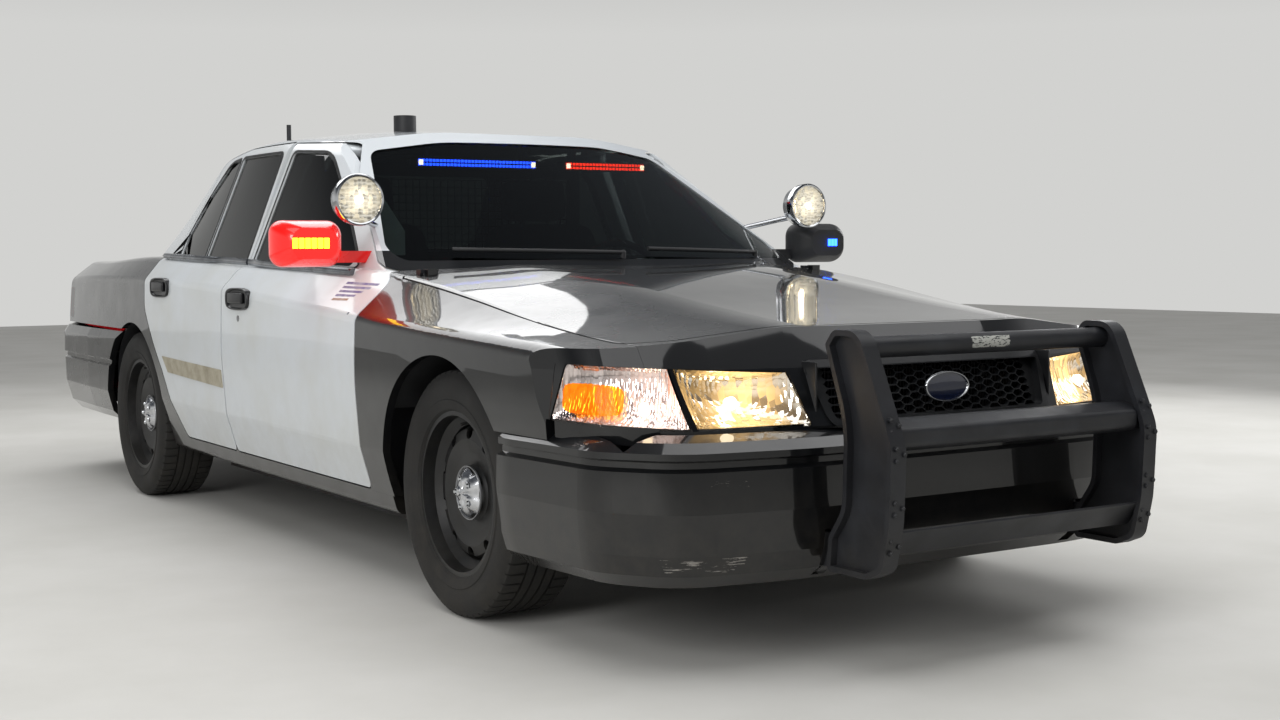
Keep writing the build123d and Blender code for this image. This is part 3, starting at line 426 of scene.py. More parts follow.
wearing = {
    "shellPaint": ["body_shell"],
    "blackPaint": ["hood", "trunk_lid", "front_fenders", "header_panel", "rear_bumper"],
    "bumperPaint": ["front_bumper"],
    "whitePaint": ["front_left_door", "front_right_door", "rear_left_door", "rear_right_door", "centre_pillars"],
    "blackSteel": ["partition", "lid_hinges", "firewall"],
    "pushBarCoat": ["push_bar"],
    "wheelSteel": ["front_left_wheel", "front_right_wheel", "rear_left_wheel", "rear_right_wheel"],
    "tyreRubber": ["front_left_tyre", "front_right_tyre", "rear_left_tyre", "rear_right_tyre"],
    "chassisPaint": ["frame_rails", "front_suspension", "drive_shaft", "fuel_tank", "floor_pan"],
    "rustyCasting": ["left_knuckle", "right_knuckle", "rear_axle"],
    "engineIron": ["engine_block"],
    "mouldedBlack": ["grille"],
    "grainedBlack": ["inner_wings", "rear_wheelhouses", "left_mirror", "antennas", "wipers"],
    "redPaintedGlowHousing": ["right_mirror"],
    "darkCloth": ["front_seats", "rear_seat"],
    "cabinPlastic": ["dashboard", "steering_wheel", "visor_light_bars"],
    "chrome": ["spotlights"],
    "screenGlass": ["windshield"],
    "tintedGlass": ["rear_window", "front_left_glass", "front_right_glass", "rear_left_glass", "rear_right_glass"],
    "lensGlass": ["headlamps"],
    "redLens": ["tail_lamps"],
}
for look, members in wearing.items():
    for member in members:
        nodes[member].data.materials.clear()
        nodes[member].data.materials.append(looks[look])
print("finishes given to", sum(len(m) for m in wearing.values()), "nodes")


# Makers of pieces: points in metres, in the one frame of the whole car
def addPiece(name, mesh, look, body, replaced=(), crease=35):
    piece = bpy.data.objects.new(name, mesh)
    bpy.context.scene.collection.objects.link(piece)
    if look is not None:
        mesh.materials.clear()
        mesh.materials.append(looks[look])
    mesh.shade_smooth()
    mesh.set_sharp_from_angle(angle=math.radians(crease))
    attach(piece, body)
    if replaced:
        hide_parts(*replaced)
    return piece


def wear(look, mesh):
    mesh.materials.append(looks[look])
    return mesh


def joined(name, meshes):  # several meshes as one, keeping each one's materials
    whole = bpy.data.meshes.new(name)
    form = bmesh.new()
    for mesh in meshes:
        first = len(form.faces)
        form.from_mesh(mesh)
        form.faces.ensure_lookup_table()
        worn = [m for m in mesh.materials if m]
        for m in worn:
            if m.name not in whole.materials:
                whole.materials.append(m)
        if worn:
            kept = [whole.materials.find((m or worn[0]).name) for m in mesh.materials]
            for face in form.faces[first:]:
                face.material_index = kept[min(face.material_index, len(kept) - 1)]
    form.to_mesh(whole)
    form.free()
    return whole


def addJoined(name, meshes, body, replaced=(), crease=35):
    return addPiece(name, joined(name, meshes), None, body, replaced, crease)


def meshOf(name, points, faces, outward=True):
    mesh = bpy.data.meshes.new(name)
    mesh.from_pydata([tuple(p) for p in points], [], faces)
    if outward:
        form = bmesh.new()
        form.from_mesh(mesh)
        bmesh.ops.remove_doubles(form, verts=form.verts, dist=0.00005)
        bmesh.ops.recalc_face_normals(form, faces=form.faces)
        form.to_mesh(mesh)
        form.free()
    return mesh


def circle(steps):
    return [2 * math.pi * k / steps for k in range(steps)]


def bands(rings, steps, first=0):  # the quads between rings of points, from the point numbered first
    corners = [(j, k, (k + 1) % steps) for j in range(rings - 1) for k in range(steps)]
    return [(first + j * steps + k, first + j * steps + n, first + (j + 1) * steps + n, first + (j + 1) * steps + k)
            for j, k, n in corners]


def tube(name, rings):  # rings of points joined by quads and closed at both ends
    steps = len(rings[0])
    points = [p for ringPoints in rings for p in ringPoints]
    lids = [tuple(range(steps)), tuple(range(len(points) - steps, len(points)))]
    return meshOf(name, points, bands(len(rings), steps) + lids)


def spun(profileAt, angles, place, axis):
    # profileAt(k) gives (along, radius) pairs in mm for the k-th angle; they turn round axis at place
    along = Vector(axis).normalized()
    first = along.orthogonal().normalized()
    second = along.cross(first)
    points, faces = [], []
    count = len(profileAt(0))
    for k, angle in enumerate(angles):
        outwards = math.cos(angle) * first + math.sin(angle) * second
        points += [place + along * (a / 1000) + outwards * (r / 1000) for a, r in profileAt(k)]
        n = (k + 1) % len(angles)
        faces += [(k * count + i, k * count + i + 1, n * count + i + 1, n * count + i) for i in range(count - 1)]
    return points, faces


def turned(name, profile, place, axis, steps=48):
    points, faces = spun(lambda k: profile, circle(steps), place, axis)
    return meshOf(name, points, faces)


def pipe(name, path, radius, steps=12):  # a round bar along points; all in metres
    rings = []
    for i, point in enumerate(path):
        ahead = (path[min(i + 1, len(path) - 1)] - path[max(i - 1, 0)]).normalized()
        first = ahead.cross(Vector((0.0123, 0.0321, 1))).normalized()   # nearly upright, and along no bar
        second = ahead.cross(first)
        rings.append([point + radius * (math.cos(t) * first + math.sin(t) * second) for t in circle(steps)])
    return tube(name, rings)


def swept(name, line, section, outwards):  # a section of (out, up) pairs in mm carried along a line
    return tube(name, [[p + outwards * (out / 1000) + Vector((0, 0, up / 1000)) for out, up in section]
                       for p in line])


def roundedBlock(name, size, radius, place, lean=0, axis="X"):  # size in mm; edges rounded; leant, then placed
    form = bmesh.new()
    bmesh.ops.create_cube(form, size=1)
    bmesh.ops.scale(form, vec=Vector(size) / 1000, verts=form.verts)
    bmesh.ops.bevel(form, geom=form.edges[:], offset=radius / 1000, segments=4, profile=0.5, affect="EDGES")
    mesh = bpy.data.meshes.new(name)
    form.to_mesh(mesh)
    form.free()
    mesh.transform(Matrix.Translation(place) @ Matrix.Rotation(math.radians(lean), 4, axis))
    return mesh


def skinOf(*names):  # the outer skin of some CAD nodes, for laying trim on
    points, faces = [], []
    for name in names:
        mesh = nodes[name].data
        first = len(points)
        points += [v.co.copy() for v in mesh.vertices]
        faces += [[first + i for i in face.vertices] for face in mesh.polygons]
    return BVHTree.FromPolygons(points, faces)


def landing(skin, point, toward, reach=0.6):
    hit = skin.ray_cast(point - toward * reach, toward)
    return hit[0] if hit[0] is not None else skin.find_nearest(point)[0]


def laid(name, grid, toward, skin, lift, sink=0.001, loop=False):
    # a grid of points thrown along toward onto a skin, lifted by lift metres, with a rim that sinks into it
    rows = [[landing(skin, point, toward) - toward * lift for point in row] for row in grid]
    wide, tall = len(rows[0]), len(rows)
    points = [p for row in rows for p in row]
    faces = [(r * wide + c, r * wide + (c + 1) % wide, (r + 1) * wide + (c + 1) % wide, (r + 1) * wide + c)
             for r in range(tall - 1) for c in range(wide if loop else wide - 1)]

    def rim(indices):
        first = len(points)
        points.extend(points[i] + toward * (lift + sink) for i in indices)
        for k in range(len(indices)):
            n = (k + 1) % len(indices)
            faces.append((indices[k], indices[n], first + n, first + k))
    if loop:
        rim(list(range(wide)))
        rim([(tall - 1) * wide + c for c in range(wide)])
    else:
        edge = list(range(wide)) + [r * wide + wide - 1 for r in range(1, tall)]
        edge += [(tall - 1) * wide + c for c in range(wide - 2, -1, -1)]
        edge += [r * wide for r in range(tall - 2, 0, -1)]
        rim(edge)
    return meshOf(name, points, faces)


def between(corners, wide, tall):  # a grid between four corners, given round the patch
    a, b, c, d = [Vector(p) for p in corners]
    return [[a.lerp(b, i / wide).lerp(d.lerp(c, i / wide), j / tall) for i in range(wide + 1)]
            for j in range(tall + 1)]


def roundCorners(outline, radii, steps=5, longest=40, most=0.45):
    # a flat outline in mm with its corners rounded, by at most so much of the shorter side
    path = []
    for i, corner in enumerate(outline):
        here, before, after = Vector(corner), Vector(outline[i - 1]), Vector(outline[(i + 1) % len(outline)])
        reach = min(radii[i] * 1.3, (before - here).length * most, (after - here).length * most)
        first = here + (before - here).normalized() * reach
        last = here + (after - here).normalized() * reach
        path += [first.lerp(here, t / steps).lerp(here.lerp(last, t / steps), t / steps) for t in range(steps + 1)]
    even = []
    for i, point in enumerate(path):
        nextOne = path[(i + 1) % len(path)]
        pieces = max(1, int((nextOne - point).length / longest))
        even += [point.lerp(nextOne, k / pieces) for k in range(pieces)]
    return even


def grown(path, outBy):  # the same flat loop, outBy mm further out
    following = path[1:] + path[:1]
    side = 1 if sum(a.x * b.y - b.x * a.y for a, b in zip(path, following)) > 0 else -1
    result = []
    for i, point in enumerate(path):
        ahead = (following[i] - path[i - 1]).normalized()
        result.append(point + side * outBy * Vector((ahead.y, -ahead.x)))
    return result


# Geometry Nodes for what repeats: small parts in a row, and small parts round a ring
def startTree(name, sockets):
    tree = bpy.data.node_groups.new(name, "GeometryNodeTree")
    for label, kind in sockets:
        tree.interface.new_socket(label, in_out="INPUT", socket_type="NodeSocket" + kind)
    tree.interface.new_socket("Geometry", in_out="OUTPUT", socket_type="NodeSocketGeometry")
    return tree, tree.nodes.new("NodeGroupInput").outputs


def endTree(tree, points, part, look):  # copies of a part on the points, as one plain mesh with one look
    copies = addNode(tree, "GeometryNodeInstanceOnPoints", {"Points": points.outputs[0], "Instance": part.outputs[0]})
    solid = addNode(tree, "GeometryNodeRealizeInstances", {"Geometry": copies.outputs[0]})
    dressed = addNode(tree, "GeometryNodeSetMaterial", {"Geometry": solid.outputs[0], "Material": look})
    leave = tree.nodes.new("NodeGroupOutput")
    tree.links.new(dressed.outputs[0], leave.inputs[0])
    return tree


def makeRowTree():
    tree, given = startTree("partsInARow", [("Count", "Int"), ("Step", "Vector"), ("Size", "Vector"),
                                            ("Look", "Material")])
    line = addNode(tree, "GeometryNodeMeshLine", {"Count": given["Count"], "Offset": given["Step"]})
    part = addNode(tree, "GeometryNodeMeshCube", {"Size": given["Size"]})
    return endTree(tree, line, part, given["Look"])


def makeRingTree():
    tree, given = startTree("partsRoundARing", [("Count", "Int"), ("Circle", "Float"), ("Sides", "Int"),
                                                ("Radius", "Float"), ("Height", "Float"), ("Look", "Material")])
    ringLine = addNode(tree, "GeometryNodeMeshCircle", {"Vertices": given["Count"], "Radius": given["Circle"]})
    foot = addNode(tree, "GeometryNodeMeshCylinder", {"Vertices": given["Sides"], "Radius": given["Radius"],
                                                      "Depth": given["Height"]})
    top = addNode(tree, "GeometryNodeMeshCone", {"Vertices": given["Sides"],
                                                 "Radius Bottom": calc(tree, "MULTIPLY", given["Radius"], 0.8),
                                                 "Radius Top": calc(tree, "MULTIPLY", given["Radius"], 0.5),
                                                 "Depth": calc(tree, "MULTIPLY", given["Height"], 0.25)})
    rise = addNode(tree, "ShaderNodeCombineXYZ", {"Z": calc(tree, "MULTIPLY", given["Height"], 0.5)})
    lifted = addNode(tree, "GeometryNodeTransform", {"Geometry": top.outputs[0], "Translation": rise.outputs[0]})
    part = addNode(tree, "GeometryNodeJoinGeometry")
    tree.links.new(foot.outputs[0], part.inputs[0])
    tree.links.new(lifted.outputs[0], part.inputs[0])
    return endTree(tree, ringLine, part, given["Look"])


rowTree, ringTree = makeRowTree(), makeRingTree()


def grow(name, tree, values, place):  # runs a tree once and gives its plain mesh, moved to place
    carrier = bpy.data.objects.new(name, bpy.data.meshes.new(name))
    bpy.context.scene.collection.objects.link(carrier)
    modifier = carrier.modifiers.new("parts", "NODES")
    modifier.node_group = tree
    for item in tree.interface.items_tree:
        if item.in_out == "INPUT" and item.name in values:
            modifier[item.identifier] = values[item.name]
    mesh = bpy.data.meshes.new_from_object(carrier.evaluated_get(bpy.context.evaluated_depsgraph_get()))
    carrier.modifiers.clear()
    bpy.data.objects.remove(carrier)
    mesh.transform(place)
    return mesh


def row(name, look, count, first, step, size):  # boxes from first, a step apart; all in mm on the car
    values = {"Count": count, "Step": [v / 1000 for v in step], "Size": [v / 1000 for v in size], "Look": looks[look]}
    return grow(name, rowTree, values, Matrix.Translation(at(*first)))


def ring(name, look, count, circleMm, sides, radius, height, place, axis):  # studs whose +Z is turned to axis
    values = {"Count": count, "Circle": circleMm / 1000, "Sides": sides, "Radius": radius / 1000,
              "Height": height / 1000, "Look": looks[look]}
    facing = Matrix.Translation(place) @ Vector(axis).to_track_quat("Z", "Y").to_matrix().to_4x4()
    return grow(name, ringTree, values, facing)


bothSides = {"left": 1, "right": -1}
corners = ("front_left", "front_right", "rear_left", "rear_right")
print("makers ready")

# Wheels: tyres with grooved treads, polished caps, nuts and valves
tyre = {
    "flank": [(20, 229), (10, 236), (4, 252), (1.5, 262), (4, 265), (1, 285), (0.5, 300), (4, 318), (10, 329),
              (17, 336)],                                  # in from the widest point, and radius, from the bead out
    "slack": 0.5,                                          # narrower than the CAD tyre on each side
    "treadRadius": 344.5, "crown": [(20, 3), (30, 0)],     # in from the widest point, and below the tread
    "grooves": (-46, -16, 16, 46), "grooveDepth": 7, "grooveWide": 8, "grooveSlope": 1.5,
    "shoulderDepth": 5, "pitches": 60,
    "cuts": ((0, False), (0.4, False), (0.78, False), (0.82, True), (0.96, True)),   # share of a pitch, and if sunk
}


def tyreProfile(s, half, sunk):
    shoulder = s["treadRadius"] - (s["shoulderDepth"] if sunk else 0)
    side = [(half - inset, r) for inset, r in s["flank"]] + [(half - inset, shoulder - down)
                                                             for inset, down in s["crown"]]
    inner = s["grooves"][-1] + s["grooveWide"] / 2
    deep = s["treadRadius"] - s["grooveDepth"]
    profile = [(-a, r) for a, r in side] + [(-inner, shoulder)]
    for groove in s["grooves"]:
        low, high = groove - s["grooveWide"] / 2, groove + s["grooveWide"] / 2
        profile += [(low, s["treadRadius"]), (low + s["grooveSlope"], deep), (high - s["grooveSlope"], deep),
                    (high, s["treadRadius"])]
    return profile + [(inner, shoulder)] + side[::-1]


def makeTyre(node, s):
    low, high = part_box(node)
    half = (high.x - low.x) * 500 - s["slack"]
    pitch = 2 * math.pi / s["pitches"]
    cuts = s["cuts"]
    angles = [(p + share) * pitch for p in range(s["pitches"]) for share, sunk in cuts]
    profiles = {sunk: tyreProfile(s, half, sunk) for sunk in (False, True)}
    points, faces = spun(lambda k: profiles[cuts[k % len(cuts)][1]], angles, (low + high) / 2, (1, 0, 0))
    addPiece(node + "Treaded", meshOf(node, points, faces), "tyreRubber", node.replace("tyre", "wheel"),
             [node], 28)


cap = {
    "radius": 66, "dome": 26, "domePower": 3.2, "steps": 60, "rings": 9,
    "lobes": 5, "lobeWide": 0.10, "lobeDeep": 7,
    "crease": (0.30, 0.07, 4),            # share of the radius, width as a share, and depth
    "seatBeside": 0.048,                  # m from the axle, where the wheel's face is felt for
    "nuts": 5, "nutTurn": 36, "nutCircle": 41, "nutRadius": 10, "nutHeight": 20, "nutOut": 0.012,
    "stemUp": 0.2, "stemLean": -0.25, "stem": [(-6, 0), (-6, 5), (10, 5), (14, 4), (34, 4), (35, 0)],
    "collar": [(0, 78), (1.5, 78), (5, 76), (5, 73), (0, 71)],
}


def makeCap(corner, s):
    wheelSkin = skinOf(corner + "_wheel")
    centre = middle(corner + "_tyre")
    side = 1 if "left" in corner else -1
    out = Vector((side, 0, 0))
    face = landing(wheelSkin, centre + Vector((0, s["seatBeside"], 0)), -out)
    seat = Vector((face.x, centre.y, centre.z))
    place, width, depth = s["crease"]
    points = [seat + out * (s["dome"] / 1000)]
    for share in [j / s["rings"] for j in range(1, s["rings"] + 1)]:
        for angle in circle(s["steps"]):
            lobes = math.cos(s["lobes"] * angle)
            radius = s["radius"] * share * (1 + s["lobeWide"] * lobes * share)
            height = s["dome"] * (1 - share ** s["domePower"])
            height -= s["lobeDeep"] * max(0, -lobes) * math.sin(math.pi * min(1, share * 1.1)) ** 2
            height -= depth * math.exp(-((share - place) / width) ** 2)
            points.append(seat + out * (max(height, -1) / 1000)
                          + Vector((0, math.cos(angle), math.sin(angle))) * (radius / 1000))
    faces = [(0, 1 + k, 1 + (k + 1) % s["steps"]) for k in range(s["steps"])] + bands(s["rings"], s["steps"], 1)
    nuts = ring("nuts", "chrome", s["nuts"], s["nutCircle"], 6, s["nutRadius"], s["nutHeight"], Vector(), out)
    nuts.transform(Matrix.Translation(seat + out * s["nutOut"])
                   @ Matrix.Rotation(math.radians(s["nutTurn"]), 4, out))
    foot = landing(wheelSkin, centre + Vector((0, 0, s["stemUp"])), -out)
    addJoined(corner + "Cap", [
        wear("brightCap", meshOf("dome", points, faces)), nuts,
        wear("tyreRubber", turned("stem", s["stem"], foot, (side, 0, s["stemLean"]), 12)),
        wear("dullSteel", turned("collar", s["collar"], seat, out, 64)),
    ], corner + "_wheel")


for corner in corners:
    makeTyre(corner + "_tyre", tyre)
    makeCap(corner, cap)
print("wheels done")

# Headlamps: clear lenses over bowls with facets painted bright and dark, lit bulbs, and an amber marker
headlamp = {
    "fanCentre": (600, -560), "middleZ": 660,     # x, y that the lens curves round
    "bottom": ((425, -957), (950, -602)),         # x, y of the inner and outer corner of the lower edge
    "top": ((454, -899), (938, -602)),
    "bottomZ": (586.5, 583.5, 602), "topZ": (713.5, 728, 740), "knee": 0.45,   # at the inner end, knee and outer end
    "split": (0.41, 0.49),                        # share of the width at the bottom and the top
    "splitHalf": 0.012,
    "post": (-0.016, 0.004),                      # the black post between the lamps, beside the split
    "outerEnd": (0.998, 0.95),                    # where the lens ends; black filler goes on to the seam
    "bowlDeep": 62, "cornerDeep": 26, "cornerPower": 0.35, "housingBack": 5,
    "marker": (0.68, 0.955, 0.17, 0.69),          # amber: first and last share across, and up
    "markerBack": -9, "markerRise": 5, "markerCorners": 4.5,
    "bulbs": ((0.22, 0.42, -34, 17), (0.60, 0.34, -20, 13)),     # share across and up, depth, radius
}
lampSkin = skinOf("headlamps", "header_panel", "front_fenders", "front_bumper")


def lensPoint(s, side, across, up, lift):
    cx, cy = s["fanCentre"]
    angle = []
    for edge in (s["bottom"], s["top"]):
        first, last = [math.atan2(p[1] - cy, p[0] - cx) for p in edge]
        angle.append(first + (last - first) * across)
    heading = angle[0] + (angle[1] - angle[0]) * up
    knee = s["knee"]
    bottomZ, topZ = [a + (b - a) * across / knee if across < knee else b + (c - b) * (across - knee) / (1 - knee)
                     for a, b, c in (s["bottomZ"], s["topZ"])]
    centre = at(side * cx, cy, bottomZ + (topZ - bottomZ) * up)
    outwards = Vector((side * math.cos(heading), math.sin(heading), 0))
    return landing(lampSkin, centre, -outwards, 0.8) + outwards * (lift / 1000), outwards


def lampGrid(s, side, span, liftAt, columns, rows, square=None):
    # span: shares across at the bottom and at the top, and up; liftAt(u, v) in mm, minus is inwards
    (b0, b1), (t0, t1), (v0, v1) = span
    points = []
    for j in range(rows + 1):
        for i in range(columns + 1):
            u, v = i / columns, j / rows
            if square:                     # a grid whose outer edge is an oblong with rounded corners
                a, b = 2 * u - 1, 2 * v - 1
                norm = (abs(a) ** square + abs(b) ** square) ** (1 / square)
                share = max(abs(a), abs(b)) / norm if norm else 1
                u, v = 0.5 + a * share / 2, 0.5 + b * share / 2
            up = v0 + (v1 - v0) * v
            across = (b0 + (b1 - b0) * u) * (1 - up) + (t0 + (t1 - t0) * u) * up
            points.append(lensPoint(s, side, across, up, liftAt(u, v))[0])
    wide = columns + 1
    faces = [(j * wide + i, j * wide + i + 1, (j + 1) * wide + i + 1, (j + 1) * wide + i)
             for j in range(rows) for i in range(columns)]
    return meshOf("lamp", points, faces, outward=False)


def dish(deep, power=0.5, back=0):  # 6 mm behind the lens at its edges, deepest in the middle
    return lambda u, v: -6 - deep * (math.sin(math.pi * u) * math.sin(math.pi * v)) ** power - back


def swell(u, v):  # 0 at the edges and nearly 1 over most of the sheet
    return (max(0, math.sin(math.pi * u)) * max(0, math.sin(math.pi * v))) ** 0.3


def facedOut(mesh, centre):  # loose sheets: every face is turned away from centre
    form = bmesh.new()
    form.from_mesh(mesh)
    for face in form.faces:
        if face.normal.dot(face.calc_center_median() - centre) < 0:
            face.normal_flip()
    form.to_mesh(mesh)
    form.free()
    return mesh


def makeHeadlamp(side, s):
    sign = bothSides[side]
    inside = at(sign * s["fanCentre"][0], s["fanCentre"][1], s["middleZ"])
    (splitB, splitT), (endB, endT), half = s["split"], s["outerEnd"], s["splitHalf"]
    beam = ((0.0, splitB - half), (0.0, splitT - half), (0.0, 1.0))
    turn = ((splitB + half, endB), (splitT + half, endT), (0.0, 1.0))
    a, b, low, high = s["marker"]
    before, after = s["post"]
    parts = []

    def add(look, *grid):
        parts.append(wear(look, facedOut(lampGrid(s, sign, *grid), inside)))
    add("lampBowl", beam, dish(s["bowlDeep"]), 26, 16)
    add("cornerBowl", turn, dish(s["cornerDeep"], s["cornerPower"]), 26, 14)
    for span, deep, power in ((beam, s["bowlDeep"], 0.5), (turn, s["cornerDeep"], s["cornerPower"])):
        add("mouldedBlack", span, dish(deep, power, s["housingBack"]), 26, 14)     # black housing behind the bowl
        parts[-1].flip_normals()
    add("amberLens", ((a, b), (a, b), (low, high)), lambda u, v: s["markerBack"] + s["markerRise"] * swell(u, v),
        20, 12, s["markerCorners"])
    add("glossBlack", ((splitB + before, splitB + after), (splitT + before, splitT + after), (0, 1)),
        lambda u, v: 0.8, 2, 8)
    add("blackPaint", ((endB, 1.0), (endT, 1.0), (0, 1)), lambda u, v: 0.1, 6, 10)
    add("clearLens", beam, lambda u, v: 0.2, 30, 12)
    add("ribbedLens", turn, lambda u, v: 0.2, 30, 12)
    for across, up, lift, radius in s["bulbs"]:
        place, outwards = lensPoint(s, sign, across, up, lift)
        profile = [(-18, 0), (-18, radius * 0.7), (0, radius), (8, radius * 0.8), (14, 0)]
        parts.append(wear("lamp", turned("bulb", profile, place, outwards, 20)))
    addJoined(side + "Headlamp", parts, "car_body", ["headlamps"] if side == "left" else (), 40)


facets = {
    "scatter": 0.55, "fade": 1.6,                   # how unevenly facets lie, and how fast the glow falls off
    "spread": (0.1, 0.9, 0.25, 1.0),                # facets painted dark glow a quarter as much as bright ones
    "relief": {"Strength": 0.7, "Distance": 0.004}, "metal": 1.0, "rough": 0.06,
}
ribs = {"wavesPerScale": 20, "relief": {"Strength": 0.35, "Distance": 0.002}, "bend": 1.12, "rough": 0.02}


def lampWithPaintedFacets(name, s):
    # reflector facets painted bright and dark in the base colour, a painted reflection; the glow is strongest round
    # the bulb, which is at the same place on both sides
    material, tree, shader = newMaterial(name)
    place = objectPlace(tree)
    scaled = addNode(tree, "ShaderNodeMapping", {"Scale": [1000 / f for f in s["facetMm"]], "Vector": place})
    cells = addNode(tree, "ShaderNodeTexVoronoi", {"Scale": 1.0, "Randomness": facets["scatter"],
                                                   "Vector": scaled.outputs[0]})
    share = addNode(tree, "ShaderNodeSeparateColor", {"Color": cells.outputs["Color"]}).outputs[0]
    far = distance(tree, unsigned(tree, place), [abs(v) for v in at(*s["bulb"])])
    near = stretch(tree, far, s["reachMm"] / 1000, 0.0, 0.0, 1.0)
    strength = calc(tree, "MULTIPLY", calc(tree, "POWER", near, facets["fade"]),
                    stretch(tree, share, *facets["spread"]))
    bump = addNode(tree, "ShaderNodeBump", {**facets["relief"], "Height": cells.outputs["Distance"]})
    feedAll(tree, shader, {"Base Color": blendColour(tree, share, hexColour(s["colour"]), hexColour(s["paintedDarkFacet"])),
                           "Metallic": facets["metal"], "Roughness": facets["rough"],
                           "Emission Color": hexColour(s["glowColour"]),
                           "Emission Strength": calc(tree, "MULTIPLY", strength, s["glow"]),
                           "Normal": bump.outputs["Normal"]})
    return material


def ribbedGlass(name, s):  # clear moulded lens with fine upright ribs on it
    material, tree, shader = newMaterial(name)
    scale = 1000 / s["ribMm"] / ribs["wavesPerScale"]
    wave = addNode(tree, "ShaderNodeTexWave", {"Scale": scale, "Vector": objectPlace(tree)}, {"bands_direction": "X"})
    bump = addNode(tree, "ShaderNodeBump", {**ribs["relief"], "Height": wave.outputs["Fac"]})
    feedAll(tree, shader, {"Base Color": hexColour(s["colour"]), "Roughness": s.get("rough", ribs["rough"]),
                           "Transmission Weight": 1.0, "IOR": ribs["bend"], "Normal": bump.outputs["Normal"]})
    if "tint" in s:
        feedAll(tree, shader, {"Emission Color": hexColour(s["tint"]), "Emission Strength": s["glow"]})
    return material


spot = {
    "centre": (885, 691, 1180),
    "lens": [(2, 72), (6, 64), (11, 40), (13, 0)], "bowl": [(1, 71), (0.6, 50), (0.4, 26), (0.4, 0)],
    "bulb": [(1, 0), (1, 13), (5, 11), (7, 6), (8, 0)],
    "rim": [(-14, 80.5), (3, 81), (7, 79), (8, 76), (6, 72), (2, 71)],
}
# reflector bowls: each bowl's colour and its dark colour are facets painted bright and in reflection shade, a painted
# reflection; the glow is the lamp's own light
bowls = {
    "lampBowl": dict(colour="#F4F1E8", paintedDarkFacet="#4E4A42", glowColour="#FFCE86", glow=2.6, facetMm=(16, 16, 46),
                     bulb=(560, -880, 650), reachMm=190),
    "cornerBowl": dict(colour="#E6E4E4", paintedDarkFacet="#A8A4A2", glowColour="#FFDCCB", glow=2.4, facetMm=(9, 9, 70),
                       bulb=(770, -800, 635), reachMm=150),
    "spotBowl": dict(colour="#F6F3EA", paintedDarkFacet="#A8A496", glowColour="#FFF1D2", glow=1.9, facetMm=(15, 15, 15),
                     bulb=spot["centre"], reachMm=110),
}
lenses = {
    "amberLens": dict(colour="#F08A1C", ribMm=6, rough=0.15, tint="#F2790F", glow=0.75),
    "clearLens": dict(colour="#FFFFFF", ribMm=60),
    "ribbedLens": dict(colour="#FFF4F0", ribMm=7),
    "spotLens": dict(colour="#FFFFFF", ribMm=9),
}
looks.update({name: lampWithPaintedFacets(name, s) for name, s in bowls.items()})
looks.update({name: ribbedGlass(name, s) for name, s in lenses.items()})
for side in bothSides:
    makeHeadlamp(side, headlamp)
print("headlamps done")

# Doors: window rubber, belt moulding, handles and a protective strip
doorTrim = {
    "throwX": 900,         # x outside the door, from where trim is thrown onto it
    "windows": {
        "front": [([(858, 972), (1392, 1366), (1700, 1384), (1710, 986)], [22, 50, 18, 14])],
        "rear": [([(1790, 988), (1800, 1386), (2234, 1388), (2250, 1000)], [14, 18, 10, 10]),
                 ([(2284, 1002), (2266, 1386), (2400, 1376), (2575, 1240), (2666, 1085), (2655, 1014)],
                  [10, 10, 40, 60, 60, 20])],
    },
    "rubberWide": 11, "rubberLift": 1.6, "rubberSink": 4,
    "belt": {"front": ((800, 950), (1738, 981)), "rear": ((1757, 981), (2672, 1006))},   # y, z of the lower edge
    "beltDown": 10, "beltSteps": 30,
    "beltSection": [(-6, 4), (2, 5), (5, 8), (6.5, 14), (5, 20), (1, 25), (-14, 27)],   # out from the skin, and up
    "strip": ((2471, 612), (1768, 595), (1764, 530), (2410, 551)), "stripX": 972,
    "stripGrid": (36, 6), "stripThick": 4, "stripSink": 4,
    "corner": ((60, 96, 34), 8, (604, 1378, 1379), 18),     # closes the frame's top corner: size, edge, place, lean
}
handle = {
    "front": (1441, 1702, 857), "rear": (2399, 2587, 885),     # first and last y, and z
    "throwX": 950, "long": 228, "tall": 78, "powers": (0.55, 0.62), "steps": 48,
    # share of the size, and lift
    "plate": ((1.0, -8), (1.0, 6), (0.97, 10), (0.9, 11), (0.84, 9), (0.78, 3), (0.3, 1), (0.02, 1)),
    "grip": (16, 1.25, 0.95), "gripOut": 9, "gripUp": 3,       # thickness, and shares of half the plate
    "lockBelow": 30, "lock": [(-4, 0), (-4, 11), (3, 11), (4, 9), (3.2, 6), (3.4, 0)],
}


